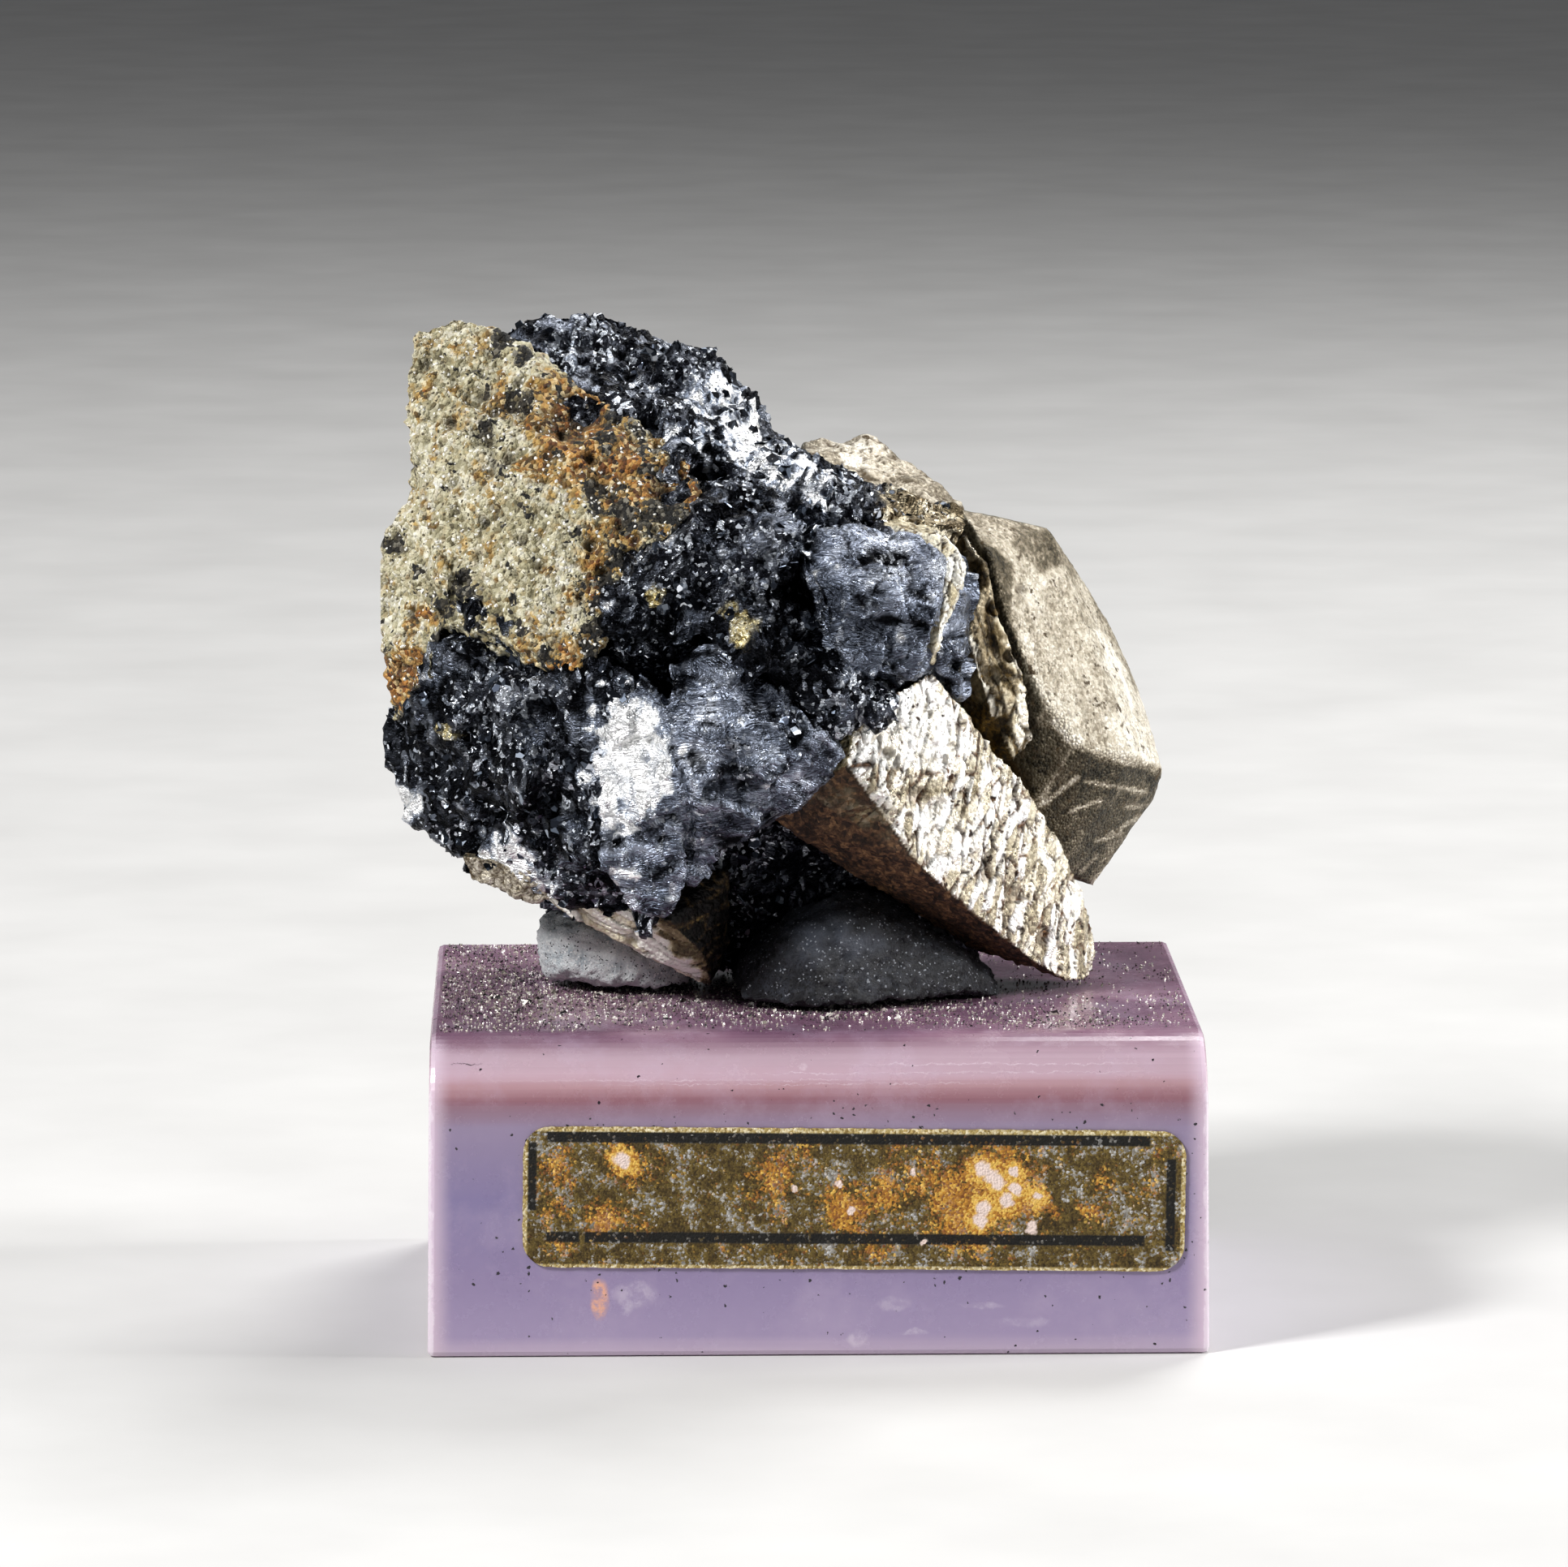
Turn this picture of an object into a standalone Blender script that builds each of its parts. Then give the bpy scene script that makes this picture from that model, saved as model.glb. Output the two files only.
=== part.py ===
# A pyrite specimen on a lilac display block, with a foil label and two lumps of mounting putty.
# Blender 4.5, metres, +Z up. The label faces -Y, and the origin is the middle of the block's underside.
# Sizes are millimetres where a name or a comment doesn't say otherwise.

import math

import bmesh
import bpy
from mathutils import Matrix, Vector, noise
from mathutils.bvhtree import BVHTree

MM = 0.001
GAP = 0.3  # clearance where one piece rests on another

# The display block, with its long front edge rounded over
BLOCK_WIDTH = 40.0
BLOCK_DEPTH = 30.0
BLOCK_HEIGHT = 16.3
BLOCK_NOSE_RADIUS = 3.6
BLOCK_EDGE_RADIUS = 0.3
BLOCK_TAPER = 0.18  # how much narrower each side stands at the top

# The foil label on the front face
LABEL_WIDTH = 33.8
LABEL_HEIGHT = 7.3
LABEL_THICKNESS = 0.15
LABEL_CORNER_RADIUS = 1.4
LABEL_MIDDLE = (1.8, 8.2)  # x and z on the front face
LABEL_TILT_DEGREES = 0.7  # the right end sits a little low

# Rough masses are given as they stand against a grid on the plane y = 0, sighted from this point.
# A point at another depth is moved along its line of sight, so its place in that outline stays.
SIGHTING_POINT = (-12.3, -437.0, 94.2)

# The rough mass: what each lump's surface is like, and its corners
ROUGH_LUMPS = {
    "lower_left": ("flaky", [
        (-18.5, -5.0, 37.2), (-16.0, -6.8, 36.0), (-12.8, -8.6, 33.2), (-9.3, -9.6, 33.3),
        (-20.3, -3.2, 31.4), (-21.9, -1.0, 29.6), (-21.6, -0.5, 27.6), (-21.4, -0.2, 26.3),
        (-20.2, -0.8, 25.4), (-18.0, -2.2, 23.2), (-15.2, -3.6, 21.6), (-12.6, -5.8, 20.9),
        (-9.6, -6.8, 20.0), (-8.2, -7.2, 20.1), (-7.6, -5.0, 22.4),
        (-11.0, -9.2, 28.5), (-11.3, -8.6, 24.0), (-15.0, -7.6, 27.5), (-18.5, -5.2, 28.0),
        (-14.0, 6.0, 22.0), (-20.0, 6.0, 27.0), (-19.0, 7.0, 34.0), (-9.0, 4.0, 22.0),
    ]),
    "bright_facet": ("smooth", [
        (-9.0, -10.0, 33.4), (-8.0, -10.8, 32.6), (-10.9, -9.6, 29.4), (-11.2, -9.5, 26.0),
        (-10.6, -9.2, 23.0), (-9.4, -8.6, 20.8), (-7.9, -8.8, 20.4), (-6.8, -9.8, 22.6),
        (-6.5, -11.0, 26.0), (-7.0, -11.6, 29.4), (-6.0, -4.0, 30.0), (-7.0, -3.0, 22.4),
    ]),
    "lower_middle": ("smooth", [
        (-7.6, -10.4, 33.8), (-5.6, -10.2, 34.8), (-3.8, -10.0, 34.4), (-7.2, -11.4, 29.4),
        (-3.6, -12.0, 31.2), (-5.6, -11.8, 27.2), (-2.0, -11.8, 28.6), (0.8, -10.8, 30.0),
        (1.9, -9.4, 28.6), (0.2, -9.2, 26.9), (-2.6, -8.6, 25.1), (-4.6, -8.0, 23.6),
        (-6.4, -8.6, 22.0), (-4.0, 0.0, 34.0), (1.0, -2.0, 30.0), (-4.0, -1.0, 25.0),
    ]),
    "middle_rib": ("smooth", [
        (-6.6, -9.6, 36.0), (-1.4, -10.8, 35.2), (2.8, -10.0, 31.6), (1.4, -10.2, 29.6),
        (4.4, -8.8, 31.6), (-2.0, -9.4, 38.0), (-5.8, -8.0, 39.4), (-3.0, -10.7, 33.2),
        (3.0, 0.0, 32.0), (-4.0, 0.0, 38.0),
    ]),
    "valley": ("flaky", [
        (-11.0, -8.4, 37.6), (-10.4, -9.0, 34.2), (-8.0, -9.6, 33.8), (-4.4, -9.4, 36.4),
        (-0.6, -10.0, 38.2), (0.2, -8.8, 40.4), (-5.0, -7.8, 41.0), (-7.6, -7.6, 40.0),
        (-4.6, -6.2, 42.4), (-1.0, -6.6, 41.8), (-6.0, 0.0, 38.0), (-9.0, 0.0, 36.0),
    ]),
    "upper_right": ("smooth", [
        (0.0, -8.6, 40.5), (2.4, -8.0, 40.9), (5.0, -7.6, 40.5), (6.5, -7.6, 39.8),
        (7.1, -8.0, 38.4), (6.7, -8.8, 36.6), (6.1, -8.8, 34.8), (5.2, -8.6, 32.8),
        (3.0, -9.8, 33.4), (1.0, -10.6, 34.6), (-0.4, -10.4, 37.6), (2.4, -10.4, 38.0),
        (-1.0, -9.0, 40.2), (7.2, -3.0, 40.0), (7.0, -2.0, 33.0), (0.0, 2.0, 40.0), (1.0, 0.0, 33.0),
    ]),
    "right_slab": ("smooth", [
        (7.0, -7.2, 39.8), (7.9, -6.0, 38.6), (8.0, -5.6, 34.6), (7.7, -5.0, 31.8),
        (6.6, -6.4, 33.2), (6.4, -7.4, 35.4), (5.0, -4.0, 39.5), (8.1, 0.0, 39.0), (7.6, 0.0, 32.5),
    ]),
    "sloping_top": ("flaky", [
        (-5.4, -6.0, 42.6), (-2.0, -6.6, 42.0), (2.0, -5.6, 41.6), (6.0, -4.6, 41.2),
        (8.0, -2.0, 40.8), (7.2, 1.0, 41.4), (3.0, 2.0, 43.0), (-0.8, 2.4, 44.6),
        (-4.0, -3.0, 44.6), (-6.0, 0.0, 45.4), (-6.0, -5.6, 39.0), (6.0, 2.0, 36.0), (0.0, 6.0, 38.0),
    ]),
    "far_ridge": ("flaky", [
        (-15.8, 3.4, 50.9), (-13.6, 4.6, 52.0), (-10.8, 5.4, 52.3), (-9.2, 6.0, 50.9),
        (-6.4, 6.4, 50.4), (-4.8, 6.0, 49.0), (-3.4, 5.6, 47.5), (-1.2, 5.0, 45.0),
        (-13.0, 0.6, 49.4), (-9.6, -0.6, 47.8), (-6.8, -2.6, 45.4), (-5.0, -3.4, 43.6),
        (-15.0, 9.0, 49.0), (-6.0, 11.0, 48.0), (-1.0, 9.0, 43.6),
    ]),
    "ridge_foot": ("flaky", [
        (-16.0, 2.4, 50.5), (-13.0, 0.0, 49.1), (-10.2, -1.2, 47.6), (-7.4, -3.0, 45.4),
        (-5.4, -4.8, 43.2), (-6.6, -6.2, 40.8), (-15.0, 8.0, 47.0), (-6.0, 8.0, 45.0),
        (-16.0, 2.0, 42.0), (-9.0, -2.0, 40.0),
    ]),
    "core": ("flaky", [
        (-17.0, -1.0, 44.0), (-19.5, 2.0, 34.0), (-9.0, -6.6, 40.0), (-5.0, -7.4, 40.4),
        (-10.0, -7.8, 36.8), (-8.0, 2.0, 21.6), (-3.0, 3.0, 24.0), (3.0, 2.0, 27.0),
        (6.0, 4.0, 38.0), (-1.0, 8.0, 43.0), (-14.0, 11.0, 45.0), (-18.0, 9.0, 38.0),
        (-17.0, 9.5, 28.0), (-9.0, 12.0, 27.0), (0.0, 12.5, 29.0), (3.0, 12.0, 38.0), (-6.0, 13.5, 40.0),
    ]),
    "underside": ("flaky", [
        (-5.2, -3.0, 23.6), (-5.4, 2.0, 19.8), (-2.0, 0.0, 20.8), (1.5, 0.0, 21.4),
        (4.0, 1.0, 21.0), (6.5, 3.0, 20.4), (-5.0, 9.0, 21.2), (4.0, 9.5, 21.2),
        (-8.0, 3.0, 22.0), (-3.0, -4.0, 25.4), (3.0, -3.0, 25.4), (8.0, 5.0, 22.4),
        (-5.2, 3.4, 17.6), (-2.0, 3.4, 17.8), (-2.2, 6.0, 18.0), (-5.4, 6.0, 18.2),
    ]),
    "crust_slab": ("crust", [
        (-20.4, 3.4, 51.2), (-18.6, 3.8, 52.0), (-16.4, 3.0, 51.4), (-21.1, 2.4, 49.0),
        (-20.6, 1.6, 45.6), (-20.7, 0.8, 43.2), (-20.9, 0.2, 38.0), (-20.6, -0.4, 35.6),
        (-13.0, -0.6, 48.9), (-10.4, -1.6, 47.6), (-7.6, -3.4, 45.4), (-5.6, -5.4, 43.0),
        (-6.8, -6.8, 40.6), (-10.4, -8.2, 37.0), (-11.2, -8.9, 34.0), (-12.4, -9.0, 32.8),
        (-14.8, -8.4, 34.6), (-19.4, -4.8, 36.0), (-15.0, -5.4, 42.0), (-18.0, 9.0, 48.0),
        (-20.5, 7.0, 40.0), (-9.0, 2.0, 44.0), (-12.0, -2.0, 34.0),
    ]),
    "crust_left": ("crust", [
        (-21.0, 0.6, 42.4), (-22.2, 0.0, 40.2), (-22.8, -0.3, 38.6), (-22.6, -0.8, 36.8),
        (-22.0, -1.2, 35.4), (-22.2, -1.3, 32.8), (-21.9, -1.2, 30.6), (-20.4, -3.3, 30.8),
        (-19.6, -4.6, 33.2), (-18.8, -5.0, 38.6), (-20.5, 6.0, 39.0), (-20.0, 6.0, 31.0),
    ]),
}

# Relief of each surface: height of the slow swell, size and lean of the flakes, height of the grains
SURFACES = {
    "flaky": {"swell": 0.36, "cell": 2.2, "lean": 0.26, "grain": 0.0},
    "smooth": {"swell": 0.14, "cell": 4.2, "lean": 0.08, "grain": 0.0},
    "crust": {"swell": 0.35, "cell": 3.0, "lean": 0.06, "grain": 0.22},
}

# Pits and hollows that open to the front: x and z on the grid, radius, depth
PITS = [
    (-12.3, 47.0, 1.5, 1.3),
    (-17.6, 47.6, 0.9, 0.5),
    (-15.6, 46.6, 1.0, 0.6),
    (-16.4, 44.0, 0.8, 0.5),
    (-7.4, 43.6, 1.0, 0.6),
    (-11.6, 43.4, 0.7, 0.4),
    (-19.2, 28.2, 1.2, 1.4),
    (-17.2, 33.4, 1.2, 1.3),
    (-2.2, 39.2, 0.7, 0.7),
    (-2.4, 31.0, 1.6, 0.7),
    (3.2, 35.6, 1.0, 0.5),
]

# Pyrite crystals with flat faces, by their corners
CRYSTALS = {
    "blade": [
        (6.3, -6.2, 33.3), (4.9, -7.2, 32.0), (2.4, -8.8, 30.8), (1.9, -9.0, 28.3),
        (4.3, -8.6, 25.8), (6.5, -6.8, 22.8), (9.8, -4.2, 19.8), (13.4, -0.8, 17.0),
        (14.3, 0.4, 16.7), (14.9, 2.6, 17.2), (14.8, 3.0, 19.6), (14.2, 1.8, 21.6),
        (12.8, 0.0, 24.7), (11.0, -2.0, 27.4), (8.9, -3.8, 29.4), (7.6, -4.8, 31.6),
        (-2.4, -6.4, 25.8), (-0.6, -7.8, 27.0), (-0.6, -5.0, 24.4), (2.4, -2.6, 22.8),
        (5.2, -1.6, 20.7), (8.2, 0.4, 18.6), (4.0, 3.0, 30.0), (9.0, 5.0, 26.0), (12.6, 5.0, 20.0),
    ],
    "block": [
        (9.2, 0.4, 39.6), (10.2, -0.2, 36.0), (12.0, -0.4, 32.2), (14.4, 0.4, 29.2),
        (16.8, 2.6, 28.9), (18.5, 6.0, 27.9), (18.0, 7.0, 26.4), (14.8, 6.2, 21.8),
        (13.2, 3.2, 22.6), (11.6, 0.4, 26.4), (9.6, 0.0, 30.5), (8.4, 0.4, 34.0),
        (12.4, 5.0, 40.8), (13.2, 5.8, 39.2), (15.6, 8.0, 35.8), (17.2, 9.0, 32.2),
        (10.0, 3.6, 41.2), (7.8, 2.4, 41.8), (4.0, 8.0, 42.4), (11.0, 12.0, 38.6),
        (15.5, 13.0, 30.0), (13.0, 12.5, 24.0), (5.0, 13.0, 26.0), (3.0, 12.0, 38.0),
    ],
    "step": [
        (8.0, 0.2, 40.6), (9.0, -1.2, 39.0), (9.9, -1.4, 36.2), (11.2, -1.2, 32.8),
        (11.6, -0.8, 29.6), (10.6, -1.2, 28.4), (9.4, -2.0, 31.0), (8.2, -2.4, 35.0),
        (8.0, 4.0, 38.0), (9.0, 4.0, 29.0), (6.0, 3.0, 30.0), (6.0, 3.0, 39.0),
    ],
    "foot": [
        (-14.2, -3.6, 21.4), (-12.4, -4.8, 20.2), (-10.0, -5.0, 18.9), (-7.8, -4.6, 17.8),
        (-6.2, -3.9, 16.9), (-5.3, -3.2, 16.6), (-5.6, -5.2, 18.2), (-7.4, -6.6, 20.0),
        (-4.3, -2.4, 18.6), (-4.3, -3.6, 22.6), (-12.8, -5.8, 21.6), (-5.4, 2.0, 18.6),
        (-12.0, 3.0, 22.0), (-4.6, 2.0, 24.0),
    ],
    "chip_low": [
        (-18.4, -2.8, 23.6), (-17.8, -2.4, 22.3), (-16.6, -2.9, 22.0), (-15.7, -3.3, 22.2),
        (-15.2, -3.8, 21.3), (-14.4, -4.0, 20.9), (-13.6, -4.6, 21.2), (-14.6, -5.0, 23.0),
        (-17.6, 1.0, 24.5), (-14.0, 1.0, 22.5),
    ],
    "top_crust": [
        (-1.4, 8.0, 44.5), (0.2, 8.6, 45.0), (1.6, 8.6, 45.2), (3.7, 8.4, 45.0),
        (4.5, 8.0, 44.2), (5.8, 7.8, 43.6), (7.9, 7.0, 41.9), (6.2, 2.0, 41.5),
        (2.4, 3.6, 42.9), (-1.4, 4.0, 44.0), (-2.0, 10.0, 41.0), (8.0, 11.0, 38.5), (2.0, 13.0, 40.5),
        (-0.2, 8.4, 45.4), (0.8, 8.4, 45.5), (3.0, 8.2, 45.6), (4.0, 8.0, 45.2), (6.6, 7.0, 43.3),
    ],
    "rim": [
        (3.8, -6.6, 41.0), (6.4, -6.9, 40.5), (7.7, -6.8, 39.5), (7.8, -7.0, 37.8),
        (7.0, -7.6, 36.4), (6.5, -7.4, 34.6), (6.2, -6.8, 33.6), (6.8, -5.4, 33.6),
        (8.1, -5.2, 38.8), (6.6, -4.4, 41.0), (4.0, -4.4, 41.4),
    ],
}

# Cubes grown into the far side: middle, edge, turns about x, y and z in degrees
CUBES = [
    ((-5.6, 9.0, 34.0), 11.0, (14, 24, 20)),
    ((1.8, 9.6, 30.6), 9.0, (30, 8, 38)),
    ((-12.0, 8.0, 29.6), 8.6, (10, 36, 12)),
    ((7.6, 9.6, 35.4), 8.0, (24, 18, 52)),
    ((-12.8, 7.6, 41.4), 8.4, (20, 10, 34)),
    ((9.6, 9.0, 27.4), 7.4, (36, 30, 6)),
]

# The two lumps of putty
PUTTY_LUMPS = {
    "putty_left": [
        (-14.2, 0.6, 20.4), (-14.4, 0.6, 18.4), (-13.7, -0.6, 16.9), (-11.4, -1.6, 16.4),
        (-8.4, -1.8, 16.4), (-6.0, -1.2, 16.5), (-5.6, 3.0, 17.0), (-6.6, 7.4, 17.6),
        (-12.0, 7.6, 17.6), (-14.2, 4.0, 17.2), (-12.6, -1.6, 19.6), (-7.0, -1.6, 20.0),
        (-6.0, 5.0, 23.0), (-12.6, 5.4, 23.0),
    ],
    "putty_right": [
        (-4.2, -5.6, 15.5), (-1.6, -6.9, 15.2), (2.0, -7.0, 15.2), (5.6, -5.6, 15.6),
        (8.2, -3.4, 16.1), (8.6, 0.5, 16.9), (10.4, -2.6, 16.4), (-3.2, -1.0, 16.6),
        (-2.3, -5.8, 18.0), (-0.9, -6.3, 19.0), (0.6, -6.2, 19.9), (3.0, -5.8, 20.4),
        (5.2, -5.0, 19.8), (7.2, -3.4, 18.6), (1.6, -2.0, 22.0), (4.4, 2.0, 22.0),
        (-4.4, 3.0, 17.2), (-4.2, 8.0, 18.4), (6.4, 8.0, 18.6), (-3.6, 5.0, 20.0),
        (1.0, 7.0, 21.6),
    ],
}

VOXEL = 0.7
ROUGH_TRIANGLES = 6200
PUTTY_TRIANGLES = 640


def sighted(point):
    """A grid reading with its depth, moved along its line of sight to where it really is."""
    eye = Vector(SIGHTING_POINT)
    x, depth, z = point
    share = (depth - eye.y) / (0.0 - eye.y)
    return eye + (Vector((x, 0.0, z)) - eye) * share


def clear_scene():
    for old in list(bpy.data.objects):
        bpy.data.objects.remove(old)


def collection(name):
    made = bpy.data.collections.new(name)
    bpy.context.scene.collection.children.link(made)
    return made


def add_object(name, mesh, where):
    made = bpy.data.objects.new(name, mesh)
    where.objects.link(made)
    return made


def helper(name, mesh, where):
    """An object that only shapes others."""
    made = add_object(name, mesh, where)
    made.hide_render = True
    made.display_type = "WIRE"
    return made


def material(name, colour, roughness, metallic=0.0):
    made = bpy.data.materials.new(name)
    made.use_nodes = True
    shader = made.node_tree.nodes["Principled BSDF"]
    shader.inputs["Base Color"].default_value = (*colour, 1.0)
    shader.inputs["Roughness"].default_value = roughness
    shader.inputs["Metallic"].default_value = metallic
    return made


def evaluated_mesh(obj):
    graph = bpy.context.evaluated_depsgraph_get()
    return bpy.data.meshes.new_from_object(obj.evaluated_get(graph))


def hull(bm, points):
    """Adds the convex hull of points, in millimetres, to bm as one closed shell."""
    corners = [bm.verts.new(p) for p in points]
    made = bmesh.ops.convex_hull(bm, input=corners)
    inside = {part for part in made["geom_interior"] if isinstance(part, bmesh.types.BMVert)}
    inside |= {part for part in made["geom_unused"] if isinstance(part, bmesh.types.BMVert)}
    bmesh.ops.delete(bm, geom=list(inside), context="VERTS")


def hulls_mesh(name, lumps):
    """Overlapping hulls in one mesh, one for each list of grid readings."""
    bm = bmesh.new()
    for points in lumps:
        hull(bm, [sighted(p) for p in points])
    bmesh.ops.recalc_face_normals(bm, faces=bm.faces)
    mesh = bpy.data.meshes.new(name)
    bm.to_mesh(mesh)
    bm.free()
    return mesh


def fused(name, mesh, where):
    """One closed skin round everything in mesh."""
    made = helper(name, mesh, where)
    remesh = made.modifiers.new("skin", "REMESH")
    remesh.mode = "VOXEL"
    remesh.voxel_size = VOXEL
    ease = made.modifiers.new("ease", "SMOOTH")
    ease.iterations = 1
    skin = evaluated_mesh(made)
    bpy.data.objects.remove(made)
    return skin


def thinned(name, mesh, triangles, where):
    made = helper(name, mesh, where)
    fewer = made.modifiers.new("fewer", "DECIMATE")
    fewer.ratio = min(1.0, triangles / (2.0 * len(mesh.polygons)))
    result = evaluated_mesh(made)
    bpy.data.objects.remove(made)
    return result


def flake_lift(point, cell, lean):
    """How far a flake stands out at point: each cell is a small plane that leans its own way."""
    spot = point / cell
    middle = noise.voronoi(spot)[1][0]
    way = noise.cell_vector(middle * 7.31) * 2.0 - Vector((1.0, 1.0, 1.0))
    return (spot - middle).dot(way) * cell * lean


def pit_depth(point):
    """How deep point lies in the round pits, which are placed as seen from the sighting point."""
    eye = Vector(SIGHTING_POINT)
    share = (0.0 - eye.y) / (point.y - eye.y)
    seen = eye + (point - eye) * share
    depth = 0.0
    for x, z, radius, deep in PITS:
        away = math.hypot(seen.x - x, seen.z - z) / radius
        if away < 1.0:
            depth = max(depth, deep * (1.0 - away * away))
    return depth


def surface_finder():
    """A function that gives the kind of surface at a point: that of the lump whose skin is nearest."""
    trees = []
    for kind, points in ROUGH_LUMPS.values():
        bm = bmesh.new()
        hull(bm, [sighted(p) for p in points])
        trees.append((kind, BVHTree.FromBMesh(bm)))
        bm.free()

    def surface_at(point):
        return min(trees, key=lambda tree: tree[1].find_nearest(point)[3])[0]

    return surface_at


def rock_relief(point, normal, surface):
    swell = noise.fractal(point / 5.0, 1.0, 2.0, 3) * surface["swell"]
    flakes = flake_lift(point, surface["cell"], surface["lean"])
    grains = noise.noise(point / 1.3) * surface["grain"]
    facing_front = max(0.0, -normal.y)
    return swell + flakes + grains - pit_depth(point) * facing_front


def rough_mass(where):
    lumps = [points for kind, points in ROUGH_LUMPS.values()]
    skin = fused("rough_mass", hulls_mesh("rough_mass", lumps), where)
    surface_at = surface_finder()
    lifts = [rock_relief(v.co, v.normal, SURFACES[surface_at(v.co)]) for v in skin.vertices]
    raise_points(skin, lifts)
    return thinned("rough_mass", skin, ROUGH_TRIANGLES, where)


def raise_points(mesh, lifts):
    """Moves each point of mesh along its normal by its own lift, in millimetres."""
    moves = [vertex.normal * lift for vertex, lift in zip(mesh.vertices, lifts)]
    for vertex, move in zip(mesh.vertices, moves):
        vertex.co += move


def cube_mesh(name, middle, edge, turns):
    bm = bmesh.new()
    bmesh.ops.create_cube(bm, size=edge)
    turn = Matrix.Identity(3)
    for degrees, axis in zip(turns, "XYZ"):
        turn = Matrix.Rotation(math.radians(degrees), 3, axis) @ turn
    bmesh.ops.transform(bm, matrix=turn.to_4x4(), verts=bm.verts)
    bmesh.ops.translate(bm, vec=sighted(middle), verts=bm.verts)
    mesh = bpy.data.meshes.new(name)
    bm.to_mesh(mesh)
    bm.free()
    return mesh


def joined(name, meshes, where, operation="UNION"):
    """The first mesh with a Boolean against each of the others."""
    base = helper(name, meshes[0], where)
    for number, mesh in enumerate(meshes[1:]):
        other = helper(f"{name}_{number}", mesh, where)
        cut = base.modifiers.new(other.name, "BOOLEAN")
        cut.operation = operation
        cut.object = other
        result = evaluated_mesh(base)
        base.modifiers.clear()
        base.data = result
        bpy.data.objects.remove(other)
    result = base.data
    bpy.data.objects.remove(base)
    return result


def islands(bm):
    """The connected shells of bm, each as a list of its points."""
    unseen = set(bm.verts)
    shells = []
    while unseen:
        edge_of_search = [unseen.pop()]
        shell = []
        while edge_of_search:
            here = edge_of_search.pop()
            shell.append(here)
            beside = {e.other_vert(here) for e in here.link_edges} & unseen
            unseen -= beside
            edge_of_search += beside
        shells.append(shell)
    return shells


def without_hollows(mesh):
    """Keeps only the outer shell, so spaces closed in between the crystals are solid."""
    bm = bmesh.new()
    bm.from_mesh(mesh)
    shells = sorted(islands(bm), key=len)
    inner = [vertex for shell in shells[:-1] for vertex in shell]
    bmesh.ops.delete(bm, geom=inner, context="VERTS")
    bm.to_mesh(mesh)
    bm.free()
    return mesh


def specimen_mesh(helpers):
    crystals = [hulls_mesh(name, [points]) for name, points in CRYSTALS.items()]
    cubes = [cube_mesh(f"cube_{n}", *cube) for n, cube in enumerate(CUBES)]
    return without_hollows(joined("specimen", [rough_mass(helpers), *crystals, *cubes], helpers))


def seat_mesh(specimen, helpers):
    """The specimen grown by the gap, to cut its seat in the putty."""
    grown = fused("seat", specimen.copy(), helpers)
    raise_points(grown, [GAP + 0.15] * len(grown.vertices))
    return thinned("seat", grown, 9000, helpers)


def below_block_top():
    """A slab whose upper face is the gap's height above the block, to cut the putty's underside."""
    bm = bmesh.new()
    bmesh.ops.create_cube(bm, size=1.0)
    thickness = 10.0
    size = Matrix.Diagonal((60.0, 60.0, thickness, 1.0))
    height = BLOCK_HEIGHT + GAP - thickness / 2.0
    bmesh.ops.transform(bm, matrix=Matrix.Translation((0.0, 0.0, height)) @ size, verts=bm.verts)
    mesh = bpy.data.meshes.new("below_block_top")
    bm.to_mesh(mesh)
    bm.free()
    return mesh


def putty_mesh(name, seat, helpers):
    skin = fused(name, hulls_mesh(name, [PUTTY_LUMPS[name]]), helpers)
    raise_points(skin, [noise.fractal(v.co / 3.5, 1.0, 2.0, 2) * 0.3 for v in skin.vertices])
    lump = thinned(name, skin, PUTTY_TRIANGLES, helpers)
    return joined(name, [lump, below_block_top(), seat], helpers, "DIFFERENCE")


def make_block(parts):
    """A box that narrows slightly upwards, with a wide round over its long front top edge."""
    bm = bmesh.new()
    bmesh.ops.create_cube(bm, size=1.0)
    size = Matrix.Diagonal((BLOCK_WIDTH * MM, BLOCK_DEPTH * MM, BLOCK_HEIGHT * MM, 1.0))
    lift = Matrix.Translation((0.0, 0.0, BLOCK_HEIGHT * MM / 2.0))
    bmesh.ops.transform(bm, matrix=lift @ size, verts=bm.verts)
    for corner in bm.verts:
        if corner.co.z > 0.0:
            corner.co.x -= math.copysign(BLOCK_TAPER * MM, corner.co.x)
    nose = [e for e in bm.edges if all(v.co.y < 0.0 and v.co.z > 0.0 for v in e.verts)]
    bmesh.ops.bevel(
        bm, geom=nose, offset=BLOCK_NOSE_RADIUS * MM, segments=14, profile=0.5, affect="EDGES"
    )
    mesh = bpy.data.meshes.new("block")
    bm.to_mesh(mesh)
    bm.free()
    block = add_object("block", mesh, parts)
    bevel = block.modifiers.new("edges", "BEVEL")
    bevel.width = BLOCK_EDGE_RADIUS * MM
    bevel.segments = 2
    bevel.limit_method = "ANGLE"
    bevel.angle_limit = math.radians(40.0)


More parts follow.
